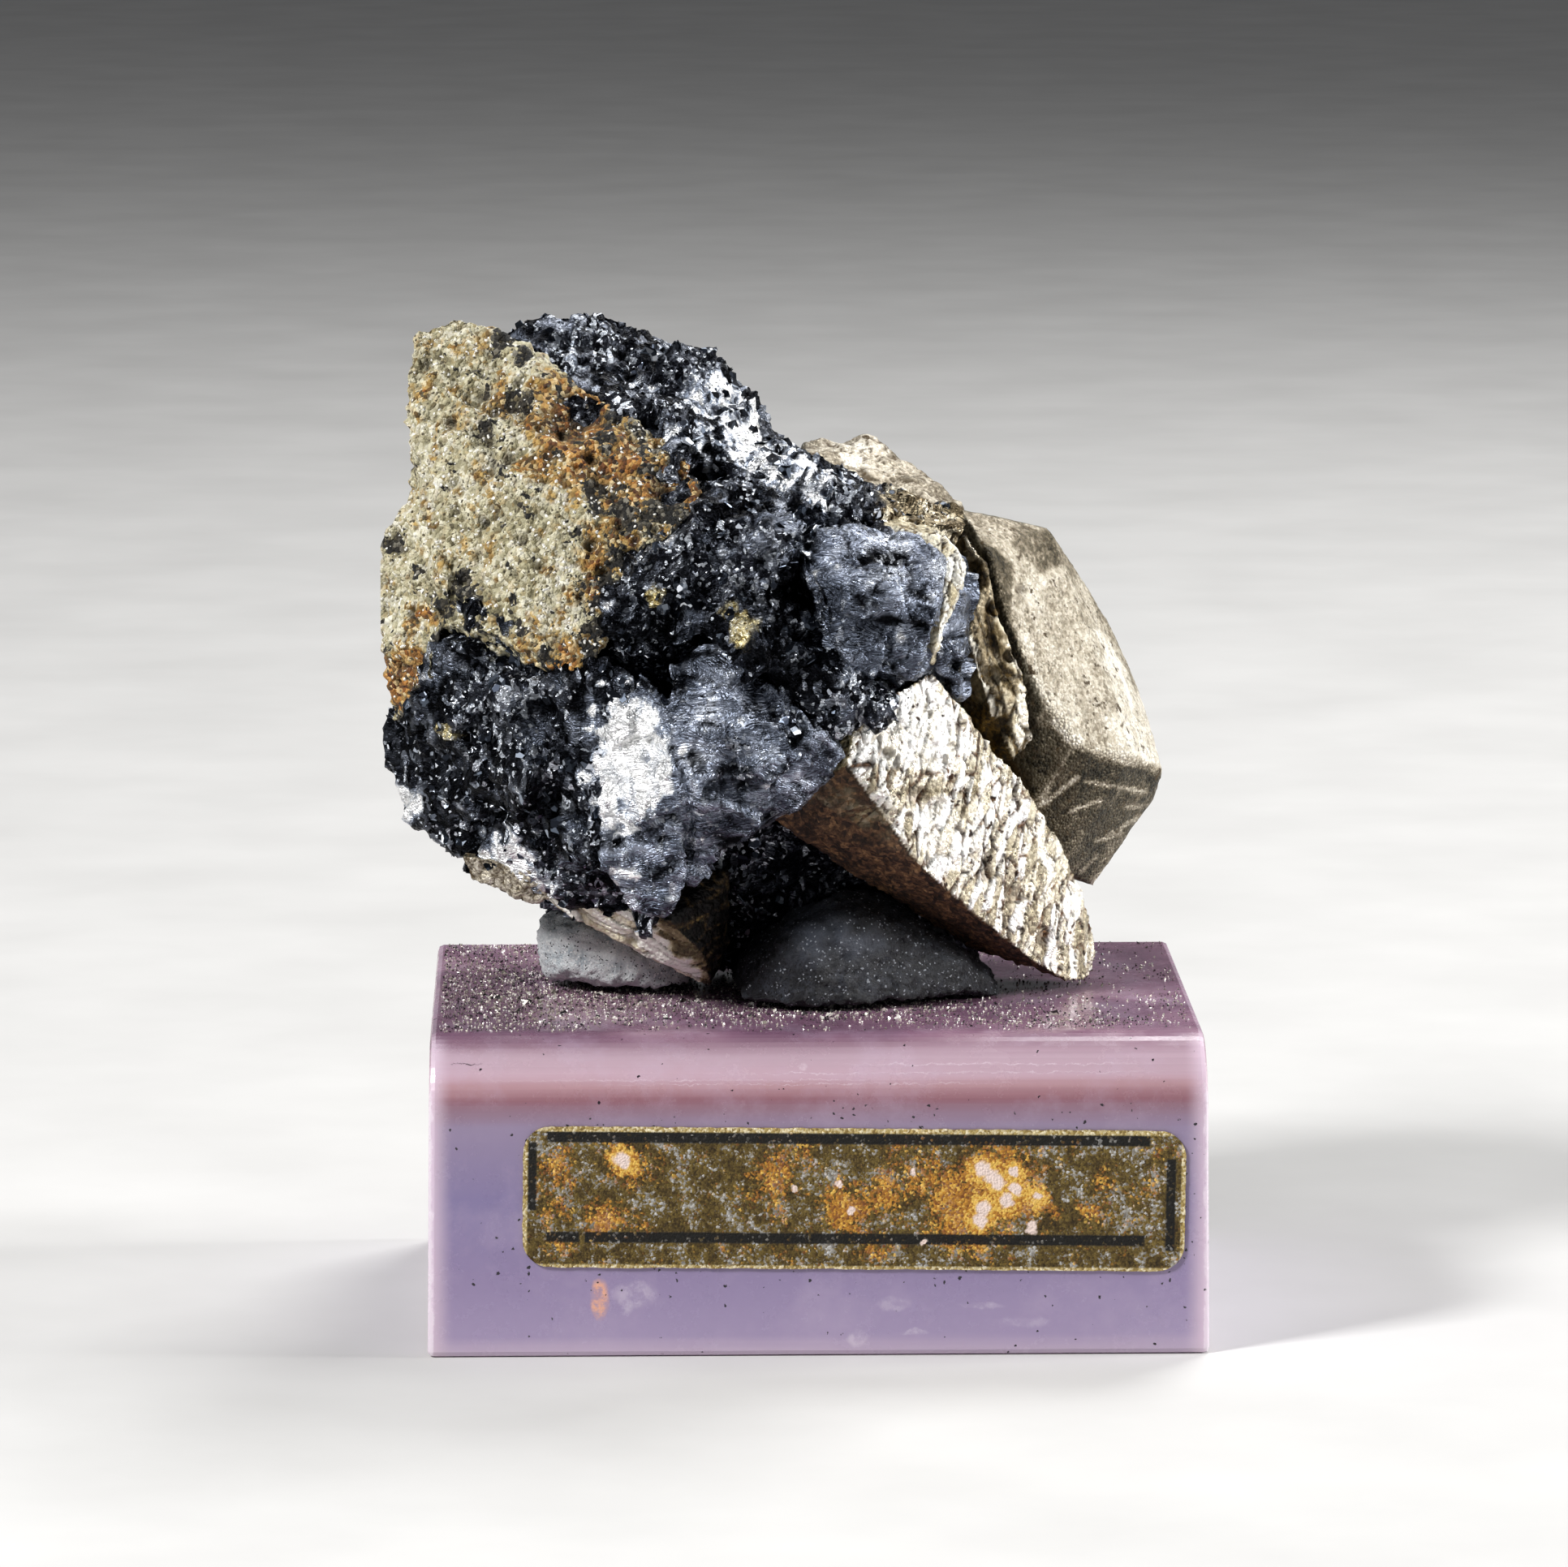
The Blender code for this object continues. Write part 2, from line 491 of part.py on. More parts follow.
def make_label(parts):
    """A flat outline with round corners, extruded to the foil's thickness."""
    curve = bpy.data.curves.new("label", "CURVE")
    curve.dimensions = "2D"
    curve.fill_mode = "BOTH"
    curve.extrude = LABEL_THICKNESS * MM / 2.0
    outline = curve.splines.new("POLY")
    half_width = LABEL_WIDTH / 2.0 - LABEL_CORNER_RADIUS
    half_height = LABEL_HEIGHT / 2.0 - LABEL_CORNER_RADIUS
    corner_steps = 5
    points = []
    for quarter, (side, level) in enumerate(((1, 1), (-1, 1), (-1, -1), (1, -1))):
        for step in range(corner_steps + 1):
            angle = math.pi / 2.0 * (quarter + step / corner_steps)
            points.append((
                (side * half_width + LABEL_CORNER_RADIUS * math.cos(angle)) * MM,
                (level * half_height + LABEL_CORNER_RADIUS * math.sin(angle)) * MM,
            ))
    outline.points.add(len(points) - 1)
    for place, (x, z) in zip(outline.points, points):
        place.co = (x, z, 0.0, 1.0)
    outline.use_cyclic_u = True
    label = add_object("label", curve, parts)
    out = -BLOCK_DEPTH / 2.0 - GAP - LABEL_THICKNESS / 2.0
    label.location = (LABEL_MIDDLE[0] * MM, out * MM, LABEL_MIDDLE[1] * MM)
    label.rotation_euler = (math.radians(90.0), math.radians(LABEL_TILT_DEGREES), 0.0)


def add_rock_piece(name, mesh, parts):
    """A piece whose mesh was shaped in millimetres."""
    mesh.transform(Matrix.Scale(MM, 4))
    add_object(name, mesh, parts)


def main():
    clear_scene()
    parts = collection("pyrite_specimen")
    helpers = collection("helpers")
    specimen = specimen_mesh(helpers)
    seat = seat_mesh(specimen, helpers)
    for name in PUTTY_LUMPS:
        add_rock_piece(name, putty_mesh(name, seat.copy(), helpers), parts)
    add_rock_piece("specimen", specimen, parts)
    make_block(parts)
    make_label(parts)
    putty = material("mounting_putty", (0.30, 0.36, 0.42), 0.7)
    finishes = {
        "specimen": material("pyrite_and_iron_black", (0.30, 0.28, 0.24), 0.4, 0.8),
        "putty_left": putty,
        "putty_right": putty,
        "block": material("lilac_acrylic", (0.45, 0.36, 0.50), 0.2),
        "label": material("aged_gold_foil", (0.36, 0.27, 0.10), 0.5, 0.5),
    }
    for obj in parts.objects:
        obj.data.materials.clear()
        obj.data.materials.append(finishes[obj.name])


main()
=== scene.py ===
import math

import bmesh
import bpy
import numpy as np
from mathutils import Matrix, Vector, noise
from mathutils.bvhtree import BVHTree


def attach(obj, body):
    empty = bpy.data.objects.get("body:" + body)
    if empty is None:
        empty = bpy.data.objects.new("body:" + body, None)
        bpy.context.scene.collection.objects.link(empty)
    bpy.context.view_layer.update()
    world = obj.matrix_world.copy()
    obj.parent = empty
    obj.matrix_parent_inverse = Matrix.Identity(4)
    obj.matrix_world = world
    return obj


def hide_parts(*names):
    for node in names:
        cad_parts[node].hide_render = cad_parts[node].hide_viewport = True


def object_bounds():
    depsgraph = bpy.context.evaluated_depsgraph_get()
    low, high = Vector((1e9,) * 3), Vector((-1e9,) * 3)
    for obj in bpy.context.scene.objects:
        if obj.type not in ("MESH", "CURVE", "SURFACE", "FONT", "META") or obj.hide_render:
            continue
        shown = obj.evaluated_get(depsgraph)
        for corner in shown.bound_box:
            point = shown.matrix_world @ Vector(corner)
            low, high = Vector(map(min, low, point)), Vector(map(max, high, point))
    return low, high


# Pyrite specimen on a lilac display block: the looks. Shapes are worked out in millimetres.

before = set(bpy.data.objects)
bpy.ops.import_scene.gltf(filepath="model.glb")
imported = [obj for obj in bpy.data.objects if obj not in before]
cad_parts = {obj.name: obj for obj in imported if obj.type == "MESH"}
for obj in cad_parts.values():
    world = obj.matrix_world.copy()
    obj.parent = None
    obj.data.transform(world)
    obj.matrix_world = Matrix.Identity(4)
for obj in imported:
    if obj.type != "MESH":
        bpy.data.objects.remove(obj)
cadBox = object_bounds()
mm = 0.001

sightingPoint = Vector((-12.3, -437.0, 94.2))  # readings are on the plane y = 0, seen from here


# small helpers

def linear(hexColour):
    parts = [int(hexColour[i:i + 2], 16) / 255 for i in (1, 3, 5)]
    return [c / 12.92 if c <= 0.04045 else ((c + 0.055) / 1.055) ** 2.4 for c in parts] + [1.0]


def setInputs(tree, node, inputs):
    # a value is set and a socket is linked; a node stands for its result, on a colour mix the third socket
    for key, value in inputs.items():
        if isinstance(value, bpy.types.Node):
            value = value.outputs[2 if getattr(value, "data_type", "") == "RGBA" else 0]
        if isinstance(value, bpy.types.NodeSocket):
            tree.links.new(value, node.inputs[key])
        else:
            node.inputs[key].default_value = value


def addNode(tree, kind, inputs=None, stops=None, **settings):
    # shader nodes are named without their prefix
    made = tree.nodes.new(kind if "Node" in kind else "ShaderNode" + kind)
    for name, value in settings.items():
        setattr(made, name, value)
    setInputs(tree, made, inputs or {})
    if stops:
        ramp = made.color_ramp
        while len(ramp.elements) < len(stops):
            ramp.elements.new(0.5)
        for element, (place, colour) in zip(ramp.elements, stops):
            element.position = place
            element.color = linear(colour) if isinstance(colour, str) else (colour,) * 3 + (1.0,)
    return made


def asMesh(bm, name):
    mesh = bpy.data.meshes.new(name)
    bm.to_mesh(mesh)
    bm.free()
    return mesh


def inScene(name, data):
    made = bpy.data.objects.new(name, data)
    bpy.context.scene.collection.objects.link(made)
    return made


def startMaterial(name):
    material = bpy.data.materials.new(name)
    material.use_nodes = True
    tree = material.node_tree
    place = addNode(tree, "TexCoord").outputs["Object"]
    return material, tree, tree.nodes["Principled BSDF"], place


def sighted(point):
    x, depth, z = point
    share = (depth - sightingPoint.y) / -sightingPoint.y
    return sightingPoint + (Vector((x, 0.0, z)) - sightingPoint) * share


def onGrid(co):
    # where points are seen on the plane y = 0, as x and z
    share = -sightingPoint.y / (co[:, 1] - sightingPoint.y)
    return (
        sightingPoint.x + (co[:, 0] - sightingPoint.x) * share,
        sightingPoint.z + (co[:, 2] - sightingPoint.z) * share,
    )


def hull(bm, points):
    corners = [bm.verts.new(p) for p in points]
    made = bmesh.ops.convex_hull(bm, input=corners)
    inside = {v for v in made["geom_interior"] + made["geom_unused"] if isinstance(v, bmesh.types.BMVert)}
    bmesh.ops.delete(bm, geom=list(inside), context="VERTS")


def hullTree(points):
    bm = bmesh.new()
    hull(bm, [sighted(p) for p in points])
    bmesh.ops.recalc_face_normals(bm, faces=bm.faces)
    tree = BVHTree.FromBMesh(bm)
    bm.free()
    return tree


def skinned(mesh, voxel, ease=1):
    # one closed skin round everything in mesh
    holder = inScene("holder", mesh)
    skin = holder.modifiers.new("skin", "REMESH")
    skin.mode = "VOXEL"
    skin.voxel_size = voxel
    if ease:
        smooth = holder.modifiers.new("ease", "SMOOTH")
        smooth.iterations = ease
    graph = bpy.context.evaluated_depsgraph_get()
    result = bpy.data.meshes.new_from_object(holder.evaluated_get(graph))
    bpy.data.objects.remove(holder)
    return result


def hullsSkin(lumps, voxel, ease=1):
    bm = bmesh.new()
    for points in lumps:
        hull(bm, [sighted(p) for p in points])
    bmesh.ops.recalc_face_normals(bm, faces=bm.faces)
    return skinned(asMesh(bm, "hulls"), voxel, ease)


def arrays(mesh):
    co = np.empty(len(mesh.vertices) * 3)
    mesh.vertices.foreach_get("co", co)
    normals = np.empty(len(mesh.vertices) * 3)
    mesh.vertex_normals.foreach_get("vector", normals)
    return co.reshape(-1, 3), normals.reshape(-1, 3)


def setPoints(mesh, co):
    mesh.vertices.foreach_set("co", co.ravel())
    mesh.update()


def setAttributes(mesh, **attributes):
    for name, values in attributes.items():
        made = mesh.attributes.new(name, "FLOAT", "POINT")
        made.data.foreach_set("value", np.asarray(values, dtype=np.float32))


def each(co, function):
    return np.array([function(Vector(p)) for p in co])


def swell(co, size, octaves=3, shift=0.0):
    offset = Vector((shift, shift * 0.7, shift * 1.3))
    return each(co, lambda p: noise.fractal(p / size + offset, 1.0, 2.0, octaves))


def flakes(co, cell, lean):
    # each cell is a small plane that leans its own way
    def lift(p):
        spot = p / cell
        middle = noise.voronoi(spot)[1][0]
        way = noise.cell_vector(middle * 7.31) * 2.0 - Vector((1.0, 1.0, 1.0))
        return (spot - middle).dot(way) * cell * lean
    return each(co, lift)


def grains(co, cell, shift=0.0):
    # round grains side by side: 1 in the middle of a grain, 0 in the seams
    offset = Vector((shift, shift, shift))
    return each(co, lambda p: max(0.0, 1.0 - noise.voronoi(p / cell + offset)[0][0] * 1.6))


def ribs(co, across, along, width, length, shift=0.0):
    # long narrow ridges that run in the direction "along"
    def height(p):
        spot = Vector((p.dot(across) / width, p.dot(along) / length, shift))
        bend = noise.noise(p / 3.0) * 0.8
        return noise.noise(spot + Vector((bend, 0.0, 0.0)))
    return each(co, height)


def dots(gridX, gridZ, spots):
    # the strongest of several round spots at each point: x, z, radius, strength
    value = np.zeros(len(gridX))
    for x, z, radius, strength in spots:
        away = np.hypot(gridX - x, gridZ - z) / radius
        value = np.maximum(value, strength * np.clip(1.0 - away * away, 0.0, 1.0))
    return value


def distanceToLine(x, z, start, end):
    wayX, wayZ = end[0] - start[0], end[1] - start[1]
    share = np.clip(((x - start[0]) * wayX + (z - start[1]) * wayZ) / (wayX * wayX + wayZ * wayZ), 0.0, 1.0)
    return np.hypot(x - start[0] - wayX * share, z - start[1] - wayZ * share)


def within(x, z, corners, soft):
    # 1 inside a shape given by x, z corners, fading over "soft" on either side of its outline
    inside = np.zeros(len(x), dtype=bool)
    nearest = np.full(len(x), 99.0)
    for (x0, z0), (x1, z1) in zip(corners, corners[1:] + corners[:1]):
        crossed = (z0 > z) != (z1 > z)
        inside ^= crossed & (x < x0 + (z - z0) * (x1 - x0) / ((z1 - z0) or 1e-9))
        nearest = np.minimum(nearest, distanceToLine(x, z, (x0, z0), (x1, z1)))
    return stepped(np.where(inside, nearest, -nearest), -soft, soft)


def stepped(value, low, high):
    share = np.clip((value - low) / (high - low), 0.0, 1.0)
    return share * share * (3.0 - 2.0 * share)


def addPiece(name, mesh, material, replaced=None, smooth=True):
    mesh.transform(Matrix.Scale(mm, 4))
    inset = 1e-6  # keeps every point inside the solids' own box
    setPoints(mesh, np.clip(arrays(mesh)[0], np.array(cadBox[0]) + inset, np.array(cadBox[1]) - inset))
    mesh.materials.clear()
    mesh.materials.append(material)
    if smooth:
        mesh.shade_smooth()
    piece = inScene(name, mesh)
    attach(piece, "root")
    if replaced:
        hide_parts(replaced)
    print("made", name, len(mesh.polygons), "faces")
    return piece


# iron-black ore

ironBlack = {
    "voxel": {"ridge": 0.17, "mass": 0.24, "lobes": 0.145},
    "ridge": {
        "slopingTop": [
            (-5.4, -6.0, 42.6), (-2.0, -6.6, 42.0), (2.0, -5.6, 41.6), (6.0, -4.6, 41.2),
            (8.0, -2.0, 40.8), (7.2, 1.0, 41.4), (3.0, 2.0, 43.0), (-0.8, 2.4, 44.6),
            (-4.0, -3.0, 44.6), (-6.0, 0.0, 45.4), (-6.0, -5.6, 39.0), (6.0, 2.0, 36.0), (0.0, 6.0, 38.0),
        ],
        "farRidge": [
            (-15.8, 3.4, 50.9), (-13.6, 4.6, 52.0), (-10.8, 5.4, 52.3), (-9.2, 6.0, 50.9),
            (-6.4, 6.4, 50.4), (-4.8, 6.0, 49.0), (-3.4, 5.6, 47.5), (-1.2, 5.0, 45.0),
            (-13.0, 0.6, 49.4), (-9.6, -0.6, 47.8), (-6.8, -2.6, 45.4), (-5.0, -3.4, 43.6),
            (-15.0, 9.0, 49.0), (-6.0, 11.0, 48.0), (-1.0, 9.0, 43.6),
        ],
        "ridgeFoot": [
            (-16.0, 2.4, 50.5), (-13.0, 0.0, 49.1), (-10.2, -1.2, 47.6), (-7.4, -3.0, 45.4),
            (-5.4, -4.8, 43.2), (-6.6, -6.2, 40.8), (-15.0, 8.0, 47.0), (-6.0, 8.0, 45.0),
            (-16.0, 2.0, 42.0), (-9.0, -2.0, 40.0),
        ],
    },
    "mass": {
        "lowerLeft": [
            (-18.5, -5.0, 37.2), (-16.0, -6.8, 36.0), (-12.8, -8.6, 33.2), (-9.3, -9.6, 33.3),
            (-20.3, -3.2, 31.4), (-21.9, -1.0, 29.6), (-21.6, -0.5, 27.6), (-21.4, -0.2, 26.3),
            (-20.2, -0.8, 25.4), (-18.0, -2.2, 23.2), (-15.2, -3.6, 21.6), (-12.6, -5.8, 20.9),
            (-9.6, -6.8, 20.0), (-8.2, -7.2, 20.1), (-7.6, -5.0, 22.4),
            (-11.0, -9.2, 28.5), (-11.3, -8.6, 24.0), (-15.0, -7.6, 27.5), (-18.5, -5.2, 28.0),
            (-14.0, 6.0, 22.0), (-20.0, 6.0, 27.0), (-19.0, 7.0, 34.0), (-9.0, 4.0, 22.0),
        ],
        "valley": [
            (-11.0, -8.4, 37.6), (-10.4, -9.0, 34.2), (-8.0, -9.6, 33.8), (-4.4, -9.4, 36.4),
            (-0.6, -10.0, 38.2), (0.2, -8.8, 40.4), (-5.0, -7.8, 41.0), (-7.6, -7.6, 40.0),
            (-4.6, -6.2, 42.4), (-1.0, -6.6, 41.8), (-6.0, 0.0, 38.0), (-9.0, 0.0, 36.0),
        ],
        "middleRib": [
            (-6.6, -9.6, 36.0), (-1.4, -10.8, 35.2), (2.8, -10.0, 31.6), (1.4, -10.2, 29.6),
            (4.4, -8.8, 31.6), (-2.0, -9.4, 38.0), (-5.8, -8.0, 39.4), (-3.0, -10.7, 33.2),
            (3.0, 0.0, 32.0), (-4.0, 0.0, 38.0),
        ],
        "core": [
            (-17.0, -1.0, 44.0), (-19.5, 2.0, 34.0), (-9.0, -6.6, 40.0), (-5.0, -7.4, 40.4),
            (-10.0, -7.8, 36.8), (-8.0, 2.0, 21.6), (-3.0, 3.0, 24.0), (3.0, 2.0, 27.0),
            (6.0, 4.0, 38.0), (-1.0, 8.0, 43.0), (-14.0, 11.0, 45.0), (-18.0, 9.0, 38.0),
            (-17.0, 9.5, 28.0), (-9.0, 12.0, 27.0), (0.0, 12.5, 29.0), (3.0, 12.0, 38.0), (-6.0, 13.5, 40.0),
        ],
        "underside": [
            (-5.2, -3.0, 23.6), (-5.4, 2.0, 19.8), (-2.0, 0.0, 20.8), (1.5, 0.0, 21.4),
            (4.0, 1.0, 21.0), (6.5, 3.0, 20.4), (-5.0, 9.0, 21.2), (4.0, 9.5, 21.2),
            (-8.0, 3.0, 22.0), (-3.0, -4.0, 25.4), (3.0, -3.0, 25.4), (8.0, 5.0, 22.4),
            (-5.2, 3.4, 17.6), (-2.0, 3.4, 17.8), (-2.2, 6.0, 18.0), (-5.4, 6.0, 18.2),
            (6.6, 2.6, 18.3), (9.0, 3.0, 18.0),
        ],
    },
    "lobes": {
        "brightFacet": [
            (-9.0, -10.0, 33.4), (-8.0, -10.8, 32.6), (-10.9, -9.6, 29.4), (-11.2, -9.5, 26.0),
            (-10.6, -9.2, 23.0), (-9.4, -8.6, 20.8), (-7.9, -8.8, 20.4), (-6.8, -9.8, 22.6),
            (-6.5, -11.0, 26.0), (-7.0, -11.6, 29.4), (-6.0, -4.0, 30.0), (-7.0, -3.0, 22.4),
        ],
        "lowerMiddle": [
            (-7.6, -10.4, 33.8), (-5.6, -10.2, 34.8), (-3.8, -10.0, 34.4), (-7.2, -11.4, 29.4),
            (-3.6, -12.0, 31.2), (-5.6, -11.8, 27.2), (-2.0, -11.8, 28.6), (0.8, -10.8, 30.0),
            (1.9, -9.4, 28.6), (0.2, -9.2, 26.9), (-2.6, -8.6, 25.1), (-4.6, -8.0, 23.6),
            (-6.4, -8.6, 22.0), (-4.0, 0.0, 34.0), (1.0, -2.0, 30.0), (-4.0, -1.0, 25.0),
        ],
        "upperRight": [
            (0.0, -8.6, 40.5), (2.4, -8.0, 40.9), (5.0, -7.6, 40.5), (6.5, -7.6, 39.8),
            (7.1, -8.0, 38.4), (6.7, -8.8, 36.6), (6.1, -8.8, 34.8), (5.2, -8.6, 32.8),
            (3.0, -9.8, 33.4), (1.0, -10.6, 34.6), (-0.4, -10.4, 37.6), (2.4, -10.4, 38.0),
            (-1.0, -9.0, 40.2), (7.2, -3.0, 40.0), (7.0, -2.0, 33.0), (0.0, 2.0, 40.0), (1.0, 0.0, 33.0),
        ],
        "rightSlab": [
            (7.0, -7.2, 39.8), (7.9, -6.0, 38.6), (8.0, -5.6, 34.6), (7.7, -5.0, 31.8),
            (6.6, -6.4, 33.2), (6.4, -7.4, 35.4), (5.0, -4.0, 39.5), (8.1, 0.0, 39.0), (7.6, 0.0, 32.5),
        ],
    },
    "hollows": [
        (-19.2, 28.2, 1.4, 1.6), (-17.2, 33.4, 1.4, 1.5), (-2.2, 39.2, 0.8, 0.9), (-13.6, 26.4, 1.2, 0.9),
        (-2.4, 31.4, 2.0, 0.6), (3.2, 35.4, 1.2, 0.5), (-9.4, 36.4, 1.0, 0.9), (-14.2, 31.2, 1.0, 0.9),
        (-16.6, 25.0, 1.0, 0.8), (-5.4, 37.6, 1.1, 0.8), (-6.6, 33.4, 0.8, 0.6), (-0.6, 33.4, 0.9, 0.7),
    ],
    # painted highlights: places whose colour is lightened toward white, seen from the front: x, z, radius,
    # strength
    "bright": [
        (-10.4, 27.6, 1.5, 1.0), (-10.3, 25.4, 1.4, 1.0), (-9.5, 30.4, 1.1, 0.8), (-8.6, 32.4, 0.9, 0.5),
        (-9.2, 22.6, 1.4, 0.45), (-21.4, 26.3, 1.5, 1.6), (-15.6, 22.6, 1.5, 0.7), (-13.6, 21.6, 1.4, 0.6),
        (-3.8, 46.4, 2.2, 0.9), (-5.4, 47.6, 2.0, 0.75), (-2.2, 44.6, 2.0, 0.75), (-7.6, 46.6, 1.6, 0.45),
        (0.4, 43.2, 2.6, 0.5), (3.6, 42.6, 2.0, 0.35), (-18.8, 36.6, 0.7, 0.8), (-0.4, 38.6, 0.7, 0.6),
        (-17.2, 51.6, 0.8, 0.5), (-11.0, 51.4, 1.0, 0.45), (-8.6, 49.4, 1.6, 0.4),
    ],
    # painted highlights on whole faces, by their corners: x, z
    "facets": [
        (((-9.0, 33.1), (-7.8, 30.5), (-7.2, 26.9), (-8.8, 25.2),
          (-10.1, 24.5), (-11.4, 26.9), (-11.3, 29.6), (-10.1, 32.2)), 1.0),
        (((-5.7, 48.6), (-3.5, 47.2), (-1.4, 44.2), (2.2, 42.8), (-0.5, 41.9),
          (-3.5, 44.2), (-5.3, 45.5)), 0.85),
        (((-17.6, 24.6), (-15.0, 24.2), (-13.4, 21.4), (-14.6, 20.6), (-16.8, 22.2)), 0.8),
    ],
    # brass-yellow crumbs of pyrite in the black ore
    "gold": [(-3.4, 35.6, 1.0, 1.0), (-4.4, 36.6, 0.6, 0.8), (-8.0, 37.2, 0.5, 0.7), (-19.0, 30.2, 0.5, 0.6)],
    # the end of the ridge, where broken pyrite shows
    "brassy": (
        (3.4, 42.7), (7.6, 43.0), (8.9, 41.8), (9.8, 38.6), (8.0, 37.6), (7.2, 39.9), (6.2, 40.4), (3.6, 40.9)),
    # on the lobes: width, length and height of the long folds
    "wrinkles": [(1.3, 3.4, 0.26), (0.6, 1.6, 0.14), (0.3, 0.8, 0.05)],
    "flakes": (0.36, 0.17),  # large and small ones, across
}


def ironBlackMesh(group):
    mesh = hullsSkin(ironBlack[group].values(), ironBlack["voxel"][group])
    co, normals = arrays(mesh)
    gridX, gridZ = onGrid(co)
    front = np.clip(-normals[:, 1], 0.0, 1.0)
    if group == "lobes":
        lobe = stepped(swell(co, 2.4, 4, 4.0), -0.62, -0.30)
    else:
        lobe = stepped(swell(co, 2.6, 3, 4.0), 0.30, 0.55) * 0.6
    crumbly = stepped(swell(co, 4.2, 2, 20.0), -0.45, 0.35) * (1.0 - lobe)
    ragged = swell(co, 0.9, 4, 8.0)
    outward = np.clip(front + np.clip(normals[:, 2], 0.0, 1.0) + np.clip(-normals[:, 0], 0.0, 1.0), 0.0, 1.0)
    # painted highlight: the mask of places whose colour is lightened toward white
    bright = dots(gridX, gridZ, ironBlack["bright"]) * 0.8
    for corners, value in ironBlack["facets"]:
        bright = np.maximum(bright, within(gridX + ragged * 1.1, gridZ - ragged * 1.1, corners, 0.6) * value)
    patchy = swell(co, 1.6, 3, 31.0)
    shine = stepped(bright + ragged * 0.5 + patchy * 0.5, 0.15, 0.95) * outward
    smooth = 1.0 - 0.55 * shine
    lift = swell(co, 5.0) * 0.34
    lift += flakes(co, 3.4, 0.34) * (1.0 - 0.3 * lobe)
    lift += flakes(co, 1.5, 0.36) * (0.35 + 0.65 * crumbly) * smooth * (1.0 - 0.3 * lobe)
    lift += flakes(co, 0.75, 0.40) * (0.18 + 0.82 * crumbly) * smooth * (1.0 - 0.6 * lobe)
    lift += flakes(co, 0.42, 0.34) * (0.1 + 0.7 * crumbly) * smooth * (1.0 - 0.7 * lobe)
    folds = np.zeros(len(co))
    for turn, (width, length, height) in enumerate(ironBlack["wrinkles"]):
        raised = ribs(co, Vector((0.22, 0.12, 0.97)), Vector((0.96, 0.1, -0.26)), width, length, turn * 3.0)
        folds += (0.25 - np.abs(raised)) * height * 2.0
    lift += folds * lobe * 0.6 - (1.0 - stepped(np.abs(swell(co, 2.0, 3, 6.0)), 0.012, 0.08)) * 0.12
    lift -= dots(gridX, gridZ, ironBlack["hollows"]) * front
    setPoints(mesh, co + normals * lift[:, None])
    clusters = stepped(swell(co, 3.4, 3, 12.0), -0.25, 0.55)
    golden = dots(gridX, gridZ, ironBlack["gold"])
    gold = stepped(golden + ragged * 0.8 * np.sign(golden), 0.3, 0.5) * front
    brassy = within(gridX + ragged * 0.6, gridZ - ragged * 0.6, ironBlack["brassy"], 0.2) * (group == "ridge")
    # painted shade: the hollows between folds and the cracks are darkened
    cracks = 1.0 - stepped(np.abs(swell(co, 2.0, 4, 6.0)), 0.012, 0.075)
    sunk = np.clip(stepped(-folds * lobe, 0.02, 0.16) + cracks * 0.85, 0.0, 1.0)
    setAttributes(mesh, lobe=lobe, shine=shine, gold=gold, clusters=clusters, brassy=brassy, sunk=sunk)
    return mesh


